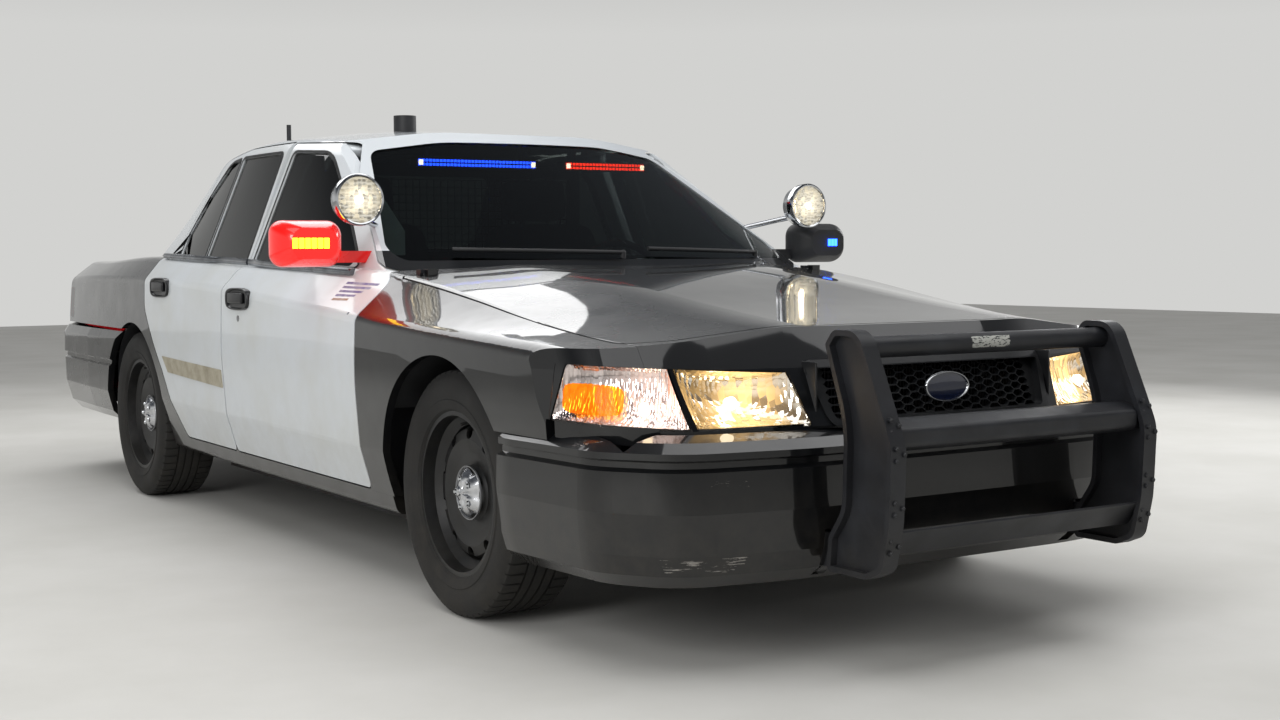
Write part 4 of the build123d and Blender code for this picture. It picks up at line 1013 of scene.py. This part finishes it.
def makeHandle(end, side, s):  # a dished oblong plate, a paddle in it, and a lock below the paddle
    node = end + "_" + side + "_door"
    sign = bothSides[side]
    first, last, height = s[end]
    y = (first + last) / 2
    inwards = Vector((-sign, 0, 0))
    long, tall = s["long"] / 2, s["tall"] / 2
    oblong = [[math.copysign(abs(v) ** power, v) for v, power in zip((math.cos(t), math.sin(t)), s["powers"])]
              for t in circle(s["steps"])]
    foot = landing(skinOf(node), at(sign * s["throwX"], y, height), inwards).x
    rings = [[Vector((foot + sign * lift / 1000, at(0, y + a * long * share, 0).y,
                      (height + b * tall * share) / 1000)) for a, b in oblong] for share, lift in s["plate"]]
    centre = Vector((foot, at(0, y, 0).y, height / 1000))
    thick, alongShare, upShare = s["grip"]
    gripCentre = centre - inwards * (s["gripOut"] / 1000) + Vector((0, 0, s["gripUp"] / 1000))
    parts = [wear("handleBlack", tube("plate", rings)),
             wear("handleBlack", roundedBlock("grip", (thick, long * alongShare, tall * upShare), 6, gripCentre))]
    if end == "front":
        lockCentre = centre + Vector((0, 0, -tall / 1000 - s["lockBelow"] / 1000))
        parts.append(wear("dullSteel", turned("lock", s["lock"], lockCentre, -inwards, 24)))
    addJoined(node + "Handle", parts, node)


def trimDoor(end, side, s):
    node = end + "_" + side + "_door"
    throwX = bothSides[side] * s["throwX"]
    skin = skinOf(node)
    inwards = Vector((-bothSides[side], 0, 0))
    rubber = []
    for outline, radii in s["windows"][end]:
        path = roundCorners(outline, radii)
        loops = [[at(throwX, p.x, p.y) for p in grown(path, out)]
                 for out in (1.0, s["rubberWide"] * 0.5, s["rubberWide"])]
        rubber.append(laid(node, loops, inwards, skin, s["rubberLift"] / 1000, s["rubberSink"] / 1000, True))
    addPiece(node + "Rubber", joined(node, rubber), "rubberTrim", node)
    (y0, z0), (y1, z1) = s["belt"][end]
    down, steps = s["beltDown"], s["beltSteps"]
    line = [landing(skin, at(throwX, y0 + (y1 - y0) * i / steps, z0 - down + (z1 - z0) * i / steps), inwards)
            for i in range(steps + 1)]
    addPiece(node + "Belt", swept(node, line, s["beltSection"], -inwards), "beltTrim", node)


def layStrip(side, s):
    node = "rear_" + side + "_door"
    sign = bothSides[side]
    patch = between([at(sign * s["stripX"], y, z) for y, z in s["strip"]], *s["stripGrid"])
    strip = laid(node, patch, Vector((-sign, 0, 0)), skinOf(node), s["stripThick"] / 1000, s["stripSink"] / 1000)
    addPiece(node + "Strip", strip, "agedStrip", node)


for side, sign in bothSides.items():
    for end in ("front", "rear"):
        trimDoor(end, side, doorTrim)
        makeHandle(end, side, handle)
    layStrip(side, doorTrim)
    size, edge, (x, y, z), lean = doorTrim["corner"]
    addPiece("front_" + side + "_doorCorner", roundedBlock("corner", size, edge, at(sign * x, y, z), lean),
             "whitePaint", "front_" + side + "_door")
print("doors trimmed")


# Lamps on the roof line: two spotlights, mirror lights and the bars behind the windshield
def makeSpot(side, s):
    x, y, z = s["centre"]
    place = at(bothSides[side] * x, y, z)
    parts = [wear(look, turned(part, s[part], place, (0, -1, 0), steps))
             for part, look, steps in (("lens", "spotLens", 56), ("bowl", "spotBowl", 56), ("bulb", "lamp", 24),
                                       ("rim", "chrome", 64))]
    addJoined(side + "SpotLamp", parts, "car_body")


for side in bothSides:
    makeSpot(side, spot)

mirrorLights = {
    "right": dict(look="amberLed", count=6, first=(-978, 733, 1046), step=(-20.5, 0, 0), size=(15, 6, 32)),
    "left": dict(look="blueLed", count=3, first=(1050, 733, 1046), step=(-15, 0, 0), size=(10, 6, 26)),
}
for side, s in mirrorLights.items():
    addPiece(side + "MirrorLeds", row("leds", s["look"], s["count"], s["first"], s["step"], s["size"]),
             None, "front_" + side + "_door")
visor = {
    "blue": dict(look="blueLed", count=34, first=(-408, 1262, 1327), step=14),
    "red": dict(look="redLed", count=24, first=(196, 1262, 1327), step=14.5),
}
visorLed, visorEnd, visorRise = (9, 4, 9), (16, 4, 18), 14     # a bar is two rows of lamps between two white ends
for name, s in visor.items():
    x, y, z = s["first"]
    bars = [row(name, s["look"], s["count"], (x, y, z + up), (s["step"], 0, 0), visorLed) for up in (0, visorRise)]
    ends = row(name, "whiteLed", 2, (x + 4, y - 1, z + visorRise / 2), (s["step"] * (s["count"] - 1) - 8, 0, 0),
               visorEnd)
    addJoined(name + "VisorLeds", bars + [ends], "car_body")
print("lights done")


# Front end: radiator core behind the grille, a bare badge, black seals under the lamps, bolts on the push bar
core = {
    "behind": 14, "lower": 16,                              # behind the grille's back, and lower than it by
    "fins": 69, "finFirst": -376, "finStep": 11, "fin": (2.5, 10),
    "pipes": 9, "pipe": (756, 9, 5), "pipeBack": 8, "pipeIn": 8,
    "sheet": (800, 6), "sheetBack": 17, "wall": (6, 118), "wallX": 402, "wallForward": 42,
    "taller": 12, "edge": 2.5,
}
badge = {
    "centre": (-2, -987, 664), "size": (152, 78), "steps": 56,      # rings: share of the size, and mm forwards
    "rim": [(0.9, -4), (1.0, 0), (1.0, 4), (0.975, 6.5), (0.93, 6.5), (0.905, 4), (0.9, 1)],
    "field": [(0.905, -3), (0.905, 3), (0.7, 4), (0.4, 4.7), (0.05, 5)],
}


def makeCore(s):
    low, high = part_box("grille")
    y = (high.y - axleY) * 1000 + s["behind"]
    middleZ, tall = (low.z + high.z) * 500, (high.z - low.z) * 1000 - s["lower"]
    pipeZ, pipeStep = middleZ - tall / 2 + s["pipeIn"], (tall - 2 * s["pipeIn"]) / (s["pipes"] - 1)
    parts = [
        row("fins", "chassisPaint", s["fins"], (s["finFirst"], y, middleZ), (s["finStep"], 0, 0), (*s["fin"], tall)),
        row("pipes", "chassisPaint", s["pipes"], (0, y + s["pipeBack"], pipeZ), (0, 0, pipeStep), s["pipe"]),
        wear("chassisPaint", roundedBlock("sheet", (*s["sheet"], tall + s["taller"]), s["edge"],
                                          at(0, y + s["sheetBack"], middleZ))),
    ]
    for x in (-s["wallX"], s["wallX"]):
        wall = roundedBlock("wall", (*s["wall"], tall + s["taller"]), s["edge"], at(x, y - s["wallForward"], middleZ))
        parts.append(wear("mouldedBlack", wall))
    addJoined("radiatorCore", parts, "car_body")


def ovalPlate(name, s):
    place, (wide, tall) = at(*s["centre"]), s["size"]
    return tube(name, [[place + Vector((wide / 2000 * share * math.cos(t), -lift / 1000,
                                        tall / 2000 * share * math.sin(t))) for t in circle(s["steps"])]
                       for share, lift in s[name]])


seal = {"up": 0.035, "first": 0.02, "length": 0.96, "steps": 40, "section": ((0, 0), (2, 46), (10, 46), (10, 0))}


def makeSeal(side, s):  # a black curtain from the lamp's lower edge down behind the bumper's top edge
    rings = []
    for i in range(s["steps"] + 1):
        across = s["first"] + s["length"] * i / s["steps"]
        place, outwards = lensPoint(headlamp, bothSides[side], across, s["up"], -3)
        rings.append([place - outwards * (back / 1000) - Vector((0, 0, down / 1000)) for back, down in s["section"]])
    addPiece(side + "LampSeal", tube("seal", rings), "blackPaint", "car_body")


bolts = {"x": 425, "z": (330, 420, 545, 610), "circle": 16, "radius": 6.5, "height": 8}


def makeBolts(s):
    skin = skinOf("push_bar")
    hits = [skin.ray_cast(at(x, -1600, z), Vector((0, 1, 0)))[0] for x in (-s["x"], s["x"]) for z in s["z"]]
    groups = [ring("bolts", "blackSteel", 3, s["circle"], 6, s["radius"], s["height"], hit, (0, -1, 0))
              for hit in hits if hit is not None]
    addJoined("pushBarBolts", groups, "car_body")


makeCore(core)
addJoined("bareBadge", [wear("chrome", ovalPlate("rim", badge)), wear("badgeBlue", ovalPlate("field", badge))],
          "car_body")
for side in bothSides:
    makeSeal(side, seal)
makeBolts(bolts)
print("front end done")

# Brakes behind the wheels: a vented disc and its hat
brake = {
    "inward": 60,          # the section's pairs are out from this plane, and radius
    "section": [(0, 78), (0, 148), (9, 148), (9, 139), (16, 139), (16, 148), (25, 148), (25, 78), (34, 73), (34, 64),
                (0, 64), (0, 78)],
    "caliper": (62, 84, 120), "caliperEdge": 12, "caliperIn": 0.047, "caliperFrom": (0, 0.118, 0.03),   # places in m
    "caliperLean": -14,
}


def makeBrake(corner, s):
    centre = middle(corner + "_tyre")
    end, side = corner.split("_")
    out = Vector((bothSides[side], 0, 0))
    disc = turned("disc", [(a - s["inward"], r) for a, r in s["section"]], centre, out, 64)
    caliper = roundedBlock("caliper", s["caliper"], s["caliperEdge"],
                           centre - out * s["caliperIn"] + Vector(s["caliperFrom"]), s["caliperLean"])
    addJoined(corner + "Brake", [wear("brakeIron", disc), wear("rustyCasting", caliper)],
              side + "_knuckle" if end == "front" else "car_body")


for corner in corners:
    makeBrake(corner, brake)
print("brakes done")

# Cabin: padded seats with stitched channels, dash fittings, and the wire screen of the partition
seats = {
    # size in mm, centre, backward lean in degrees, channels across and crown in mm
    "front": {"Cushion": ((500, 450, 130), (0, 1465, 520), 3, 5, 22),
              "Back": ((490, 110, 560), (0, 1762, 850), 12, 5, 20),
              "Headrest": ((270, 90, 160), (0, 1868, 1225), 10, 0, 12)},
    "frontPlaces": {"driver": 385, "passenger": -385},
    "rear": {"Cushion": ((1240, 480, 150), (0, 2375, 545), 4, 8, 22),
             "Back": ((1240, 105, 400), (0, 2668, 780), 10, 8, 16)},
    "base": (470, 420, 190), "basePlace": (1470, 355), "rearBase": (1230, 440, 200), "rearBasePlace": (0, 2360, 370),
    "baseEdge": 30, "postApart": 60, "post": ((1835, 1060), (1862, 1170)), "postRadius": 0.007,
}
padding = {"cuts": 31, "power": 7.0, "flat": 4, "channelDeep": 0.007, "channelWide": 0.12}


def pad(name, size, place, lean, channels, crown, s=padding):
    # a stuffed cushion: soft corners, a crowned face, sewn channels
    form = bmesh.new()
    bmesh.ops.create_cube(form, size=2)
    bmesh.ops.subdivide_edges(form, edges=form.edges[:], cuts=s["cuts"], use_grid_fill=True)
    half = Vector(size) / 2000
    thin = 1 if size[1] < size[2] else 2          # the axis of the thickness
    long = 2 if thin == 1 else 1
    for vertex in form.verts:
        u = vertex.co.copy()
        u = u / (abs(u.x) ** s["power"] + abs(u.y) ** s["power"] + abs(u.z) ** s["power"]) ** (1 / s["power"])
        face = max(0.0, 1 - abs(u.x) ** s["flat"]) * max(0.0, 1 - abs(u[long]) ** s["flat"])
        rise = crown / 1000 * face
        if channels and abs(u[long]) < 0.86 and abs(u[thin]) > 0.5:
            fold = math.cos(math.pi * u.x * channels)
            rise -= s["channelDeep"] * math.exp(-((1 - abs(fold)) / s["channelWide"]) ** 2) * face
        vertex.co = Vector((u.x * half.x, u.y * half.y, u.z * half.z))
        if abs(u[thin]) > 0.3:
            vertex.co[thin] += math.copysign(rise, u[thin])
    mesh = bpy.data.meshes.new(name)
    bmesh.ops.recalc_face_normals(form, faces=form.faces)
    form.to_mesh(mesh)
    form.free()
    mesh.transform(Matrix.Translation(at(*place)) @ Matrix.Rotation(math.radians(-lean), 4, "X"))
    return mesh


def makeSeats(s):
    for label, x in s["frontPlaces"].items():
        for part, (size, (_, y, z), *rest) in s["front"].items():
            piece = addPiece(label + "Seat" + part, pad(label + part, size, (x, y, z), *rest), "seatCloth",
                             "car_body",
                             ["front_seats"] if (label, part) == ("driver", "Cushion") else (), 60)
        base = roundedBlock("base", s["base"], s["baseEdge"], at(x, *s["basePlace"]))
        posts = [pipe("post", [at(x + dx, y, z) for y, z in s["post"]], s["postRadius"])
                 for dx in (-s["postApart"], s["postApart"])]
        addJoined(label + "SeatBase", [wear("cabinPlastic", one) for one in [base] + posts], "car_body")
    for part, how in s["rear"].items():
        piece = addPiece("rearSeat" + part, pad("rear" + part, *how), "seatVinyl", "car_body",
                         ["rear_seat"] if part == "Cushion" else (), 60)
    plinth = roundedBlock("plinth", s["rearBase"], s["baseEdge"], at(*s["rearBasePlace"]))
    addPiece("rearSeatBase", plinth, "cabinPlastic", "car_body")


makeSeats(seats)

dash = {   # blocks: look, size, edge radius, place, lean
    "blocks": [("cabinPlastic", (360, 190, 60), 26, (380, 800, 935), -6),
               ("cabinPlastic", (230, 420, 230), 24, (0, 1180, 560), 10),
               ("rubberTrim", (190, 30, 110), 6, (0, 978, 800), 0)],
    "keys": (8, 3), "firstKey": (-70, 996, 770), "keyStep": (20, 22), "key": (12, 6, 10),
    "vents": (-560, -90, 90, 560), "slats": 6, "slatPlace": (530, 872), "slatStep": 8, "slat": (110, 6, 3),
}
screen = {"wires": (40, (-600, 1962, 1060), (1200 / 39, 0, 0), (3, 3, 500)),
          "rails": (17, (0, 1966, 812), (0, 0, 31), (1206, 3, 3))}


def makeDash(s):
    parts = [wear(look, roundedBlock("block", size, edge, at(*place), lean))
             for look, size, edge, place, lean in s["blocks"]]
    (count, rows), (x, y, z), (step, rise) = s["keys"], s["firstKey"], s["keyStep"]
    parts += [row("keys", "whiteKeys", count, (x, y, z + rise * k), (step, 0, 0), s["key"]) for k in range(rows)]
    parts += [row("vents", "cabinPlastic", s["slats"], (x, *s["slatPlace"]), (0, 0, s["slatStep"]), s["slat"])
              for x in s["vents"]]
    addJoined("dashFittings", parts, "car_body")


addJoined("partitionScreen", [row(name, "blackSteel", *how) for name, how in screen.items()], "car_body")
makeDash(dash)
print("cabin done")

# Rear end: blank plate, exhaust tips
rear = {
    "plateZ": 800, "plate": (305, 2.4, 152), "plateEdge": 1.0, "plateBack": 0.004,
    "rim": ((305, 7, 0, 72.5), (305, 7, 0, -72.5), (7, 152, 149, 0), (7, 152, -149, 0)),     # wide, tall, x, z
    "rimEdge": 2.4, "rimBack": 0.005, "screws": (0.09, 0.0065, 0.055),
    "felt": ((-140, 0, 140), (-70, 0, 70)),       # where the lid's skin is felt for, so that the plate clears it
    "tips": (-430, 430), "tipZ": 262, "tipIn": 0.06,
    "tip": [(-520, 26), (-520, 29), (-140, 29), (-120, 33), (0, 34), (1.5, 32.5), (0, 31), (-120, 30), (-140, 26),
            (-520, 26)],
}


def makePlate(s):
    skin = skinOf("trunk_lid", "body_shell", "rear_bumper")
    hits = [skin.ray_cast(at(dx, 4800, s["plateZ"] + dz), Vector((0, -1, 0)))[0]
            for dx in s["felt"][0] for dz in s["felt"][1]]
    foot = Vector((0, max(hit.y for hit in hits if hit is not None), s["plateZ"] / 1000))
    sheet = roundedBlock("plate", s["plate"], s["plateEdge"], foot + Vector((0, s["plateBack"], 0)))
    rim = [roundedBlock("rim", (wide, 6, tall), s["rimEdge"], foot + Vector((dx / 1000, s["rimBack"], dz / 1000)))
           for wide, tall, dx, dz in s["rim"]]
    x, y, z = s["screws"]
    screws = [ring("screws", "dullSteel", 3, 0.2, 16, 6, 3, foot + Vector((dx, y, z)), (0, 1, 0)) for dx in (-x, x)]
    addJoined("rearPlate", [wear("blankPlate", sheet)] + [wear("dullSteel", bar) for bar in rim] + screws,
              "trunk_lid")


def makeTips(s):
    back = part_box("rear_bumper")[1].y
    for i, x in enumerate(s["tips"]):
        place = Vector((x / 1000, back - s["tipIn"], s["tipZ"] / 1000))
        addPiece("exhaustTip" + str(i), turned("tip", s["tip"], place, (0, 1, 0), 40), "dullSteel", "car_body")


makePlate(rear)
makeTips(rear)
print("rear end done")

# Under the hood: covers, runners and plenum on the engine, battery, filter box, bottle and hoses
bay = {   # blocks are size and centre
    "cover": ((120, 520, 84), (195, -230, 722)), "coverLean": 18, "coils": 4,
    "runner": ((60, 770), (105, 775), (150, 745), (175, 712)), "runnerRadius": 0.021, "runnerStep": 115,
    "hose": ((260, -860, 690), (250, -790, 700), (190, -710, 712), (110, -640, 700), (90, -560, 715)),
    "hoseRadius": 0.022,
    "plenum": ((190, 430, 62), (0, -250, 766)),
    "battery": ((180, 262, 186), (500, -600, 640)), "filterBox": ((250, 280, 170), (-480, -600, 640)),
    "duct": ((-190, -560, 770), (-80, -520, 778), (0, -450, 772)), "ductRadius": 0.036,
    "bottle": ((150, 260, 210), (500, 180, 640)), "line": ((220, -240, 765), (190, -300, 758)), "lineRadius": 0.009,
    "lid": [(-2, 0), (-2, 30), (14, 30), (20, 26), (21, 0)],
}


def makeBay(s):
    parts = []

    def add(look, mesh):
        parts.append(wear(look, mesh))
    for side in (1, -1):
        size, (x, y, z) = s["cover"]
        add("castAlloy", roundedBlock("cover", size, 18, at(side * x, y, z), side * s["coverLean"], "Y"))
        parts.append(row("coils", "rubberTrim", s["coils"], (side * x, y - 180, z + 38), (0, 120, 0), (52, 60, 26)))
        for i in range(s["coils"]):
            far = y - 170 + s["runnerStep"] * i
            path = [at(side * dx, far, up) for dx, up in s["runner"]]
            add("castAlloy", pipe("runner", path, s["runnerRadius"], 14))
        add("rubberTrim", pipe("hose", [at(side * dx, far, up) for dx, far, up in s["hose"]], s["hoseRadius"], 14))
    size, place = s["plenum"]
    add("castAlloy", roundedBlock("plenum", size, 24, at(*place)))
    parts.append(row("ribs", "castAlloy", 7, (0, -430, 798), (0, 60, 0), (150, 10, 10)))
    size, (x, y, z) = s["battery"]
    top = z + size[2] / 2
    add("rubberTrim", roundedBlock("battery", size, 9, at(x, y, z)))
    parts.append(ring("posts", "dullSteel", 4, 92, 12, 10, 18, at(x, y, top + 8), (0, 0, 1)))
    parts.append(row("caps", "cabinPlastic", 6, (x, y - 90, top + 4), (0, 36, 0), (24, 22, 9)))
    size, (x, y, z) = s["filterBox"]
    add("mouldedBlack", roundedBlock("filterBox", size, 20, at(x, y, z)))
    parts.append(row("ridges", "mouldedBlack", 9, (x, y - 104, z + 86), (0, 26, 0), (210, 9, 8)))
    path = [(x + 90, y + 60, z + 60), (x + 190, y + 120, z + 104), *s["duct"]]
    add("rubberTrim", pipe("duct", [at(*p) for p in path], s["ductRadius"], 18))
    size, (x, y, z) = s["bottle"]
    add("milkyPlastic", roundedBlock("bottle", size, 34, at(x, y, z)))
    add("rubberTrim", turned("lid", s["lid"], at(x, y - 50, z + 104), (0, 0, 1), 24))
    path = [(x - 30, y - 120, z + 60), (x - 120, y - 220, z + 110), *s["line"]]
    add("rubberTrim", pipe("line", [at(*p) for p in path], s["lineRadius"], 10))
    addJoined("engineDressing", parts, "car_body")


makeBay(bay)
print("engine bay done")

# A faded patch of stripes left on each front door: y, z of its corners, top front, top back, low back, low front
stripes = {
    "corners": ((801, 925), (590, 921), (628, 863), (804, 862)), "bars": 5,
    "thick": 0.55, "first": 0.02, "shorter": 0.10,        # shares: of a bar's pitch, and of the bar's length
    "throwX": 960, "grid": (12, 1), "lift": 0.0006,       # mm, steps, m
}


def makeStripes(side, s):
    node = "front_" + side + "_door"
    sign = bothSides[side]
    skin = skinOf(node)
    (ya, za), (yb, zb), (yc, zc), (yd, zd) = s["corners"]
    parts = []
    for i in range(s["bars"]):
        top, bottom = i / s["bars"], (i + s["thick"]) / s["bars"]
        reach = 1 - s["shorter"] * i
        ends = []
        for share, which in ((top, 0), (top, 1), (bottom, 1), (bottom, 0)):
            first = (ya + (yd - ya) * share, za + (zd - za) * share)
            last = (yb + (yc - yb) * share, zb + (zc - zb) * share)
            along = reach if which else s["first"]
            ends.append(at(sign * s["throwX"], first[0] + (last[0] - first[0]) * along,
                           first[1] + (last[1] - first[1]) * which))
        bar = laid("bar", between(ends, *s["grid"]), Vector((-sign, 0, 0)), skin, s["lift"])
        parts.append(wear("fadedTan" if i == s["bars"] - 1 else "fadedViolet", bar))
    addJoined(side + "Stripes", parts, node)


for side in bothSides:
    makeStripes(side, stripes)
print("stripes laid")
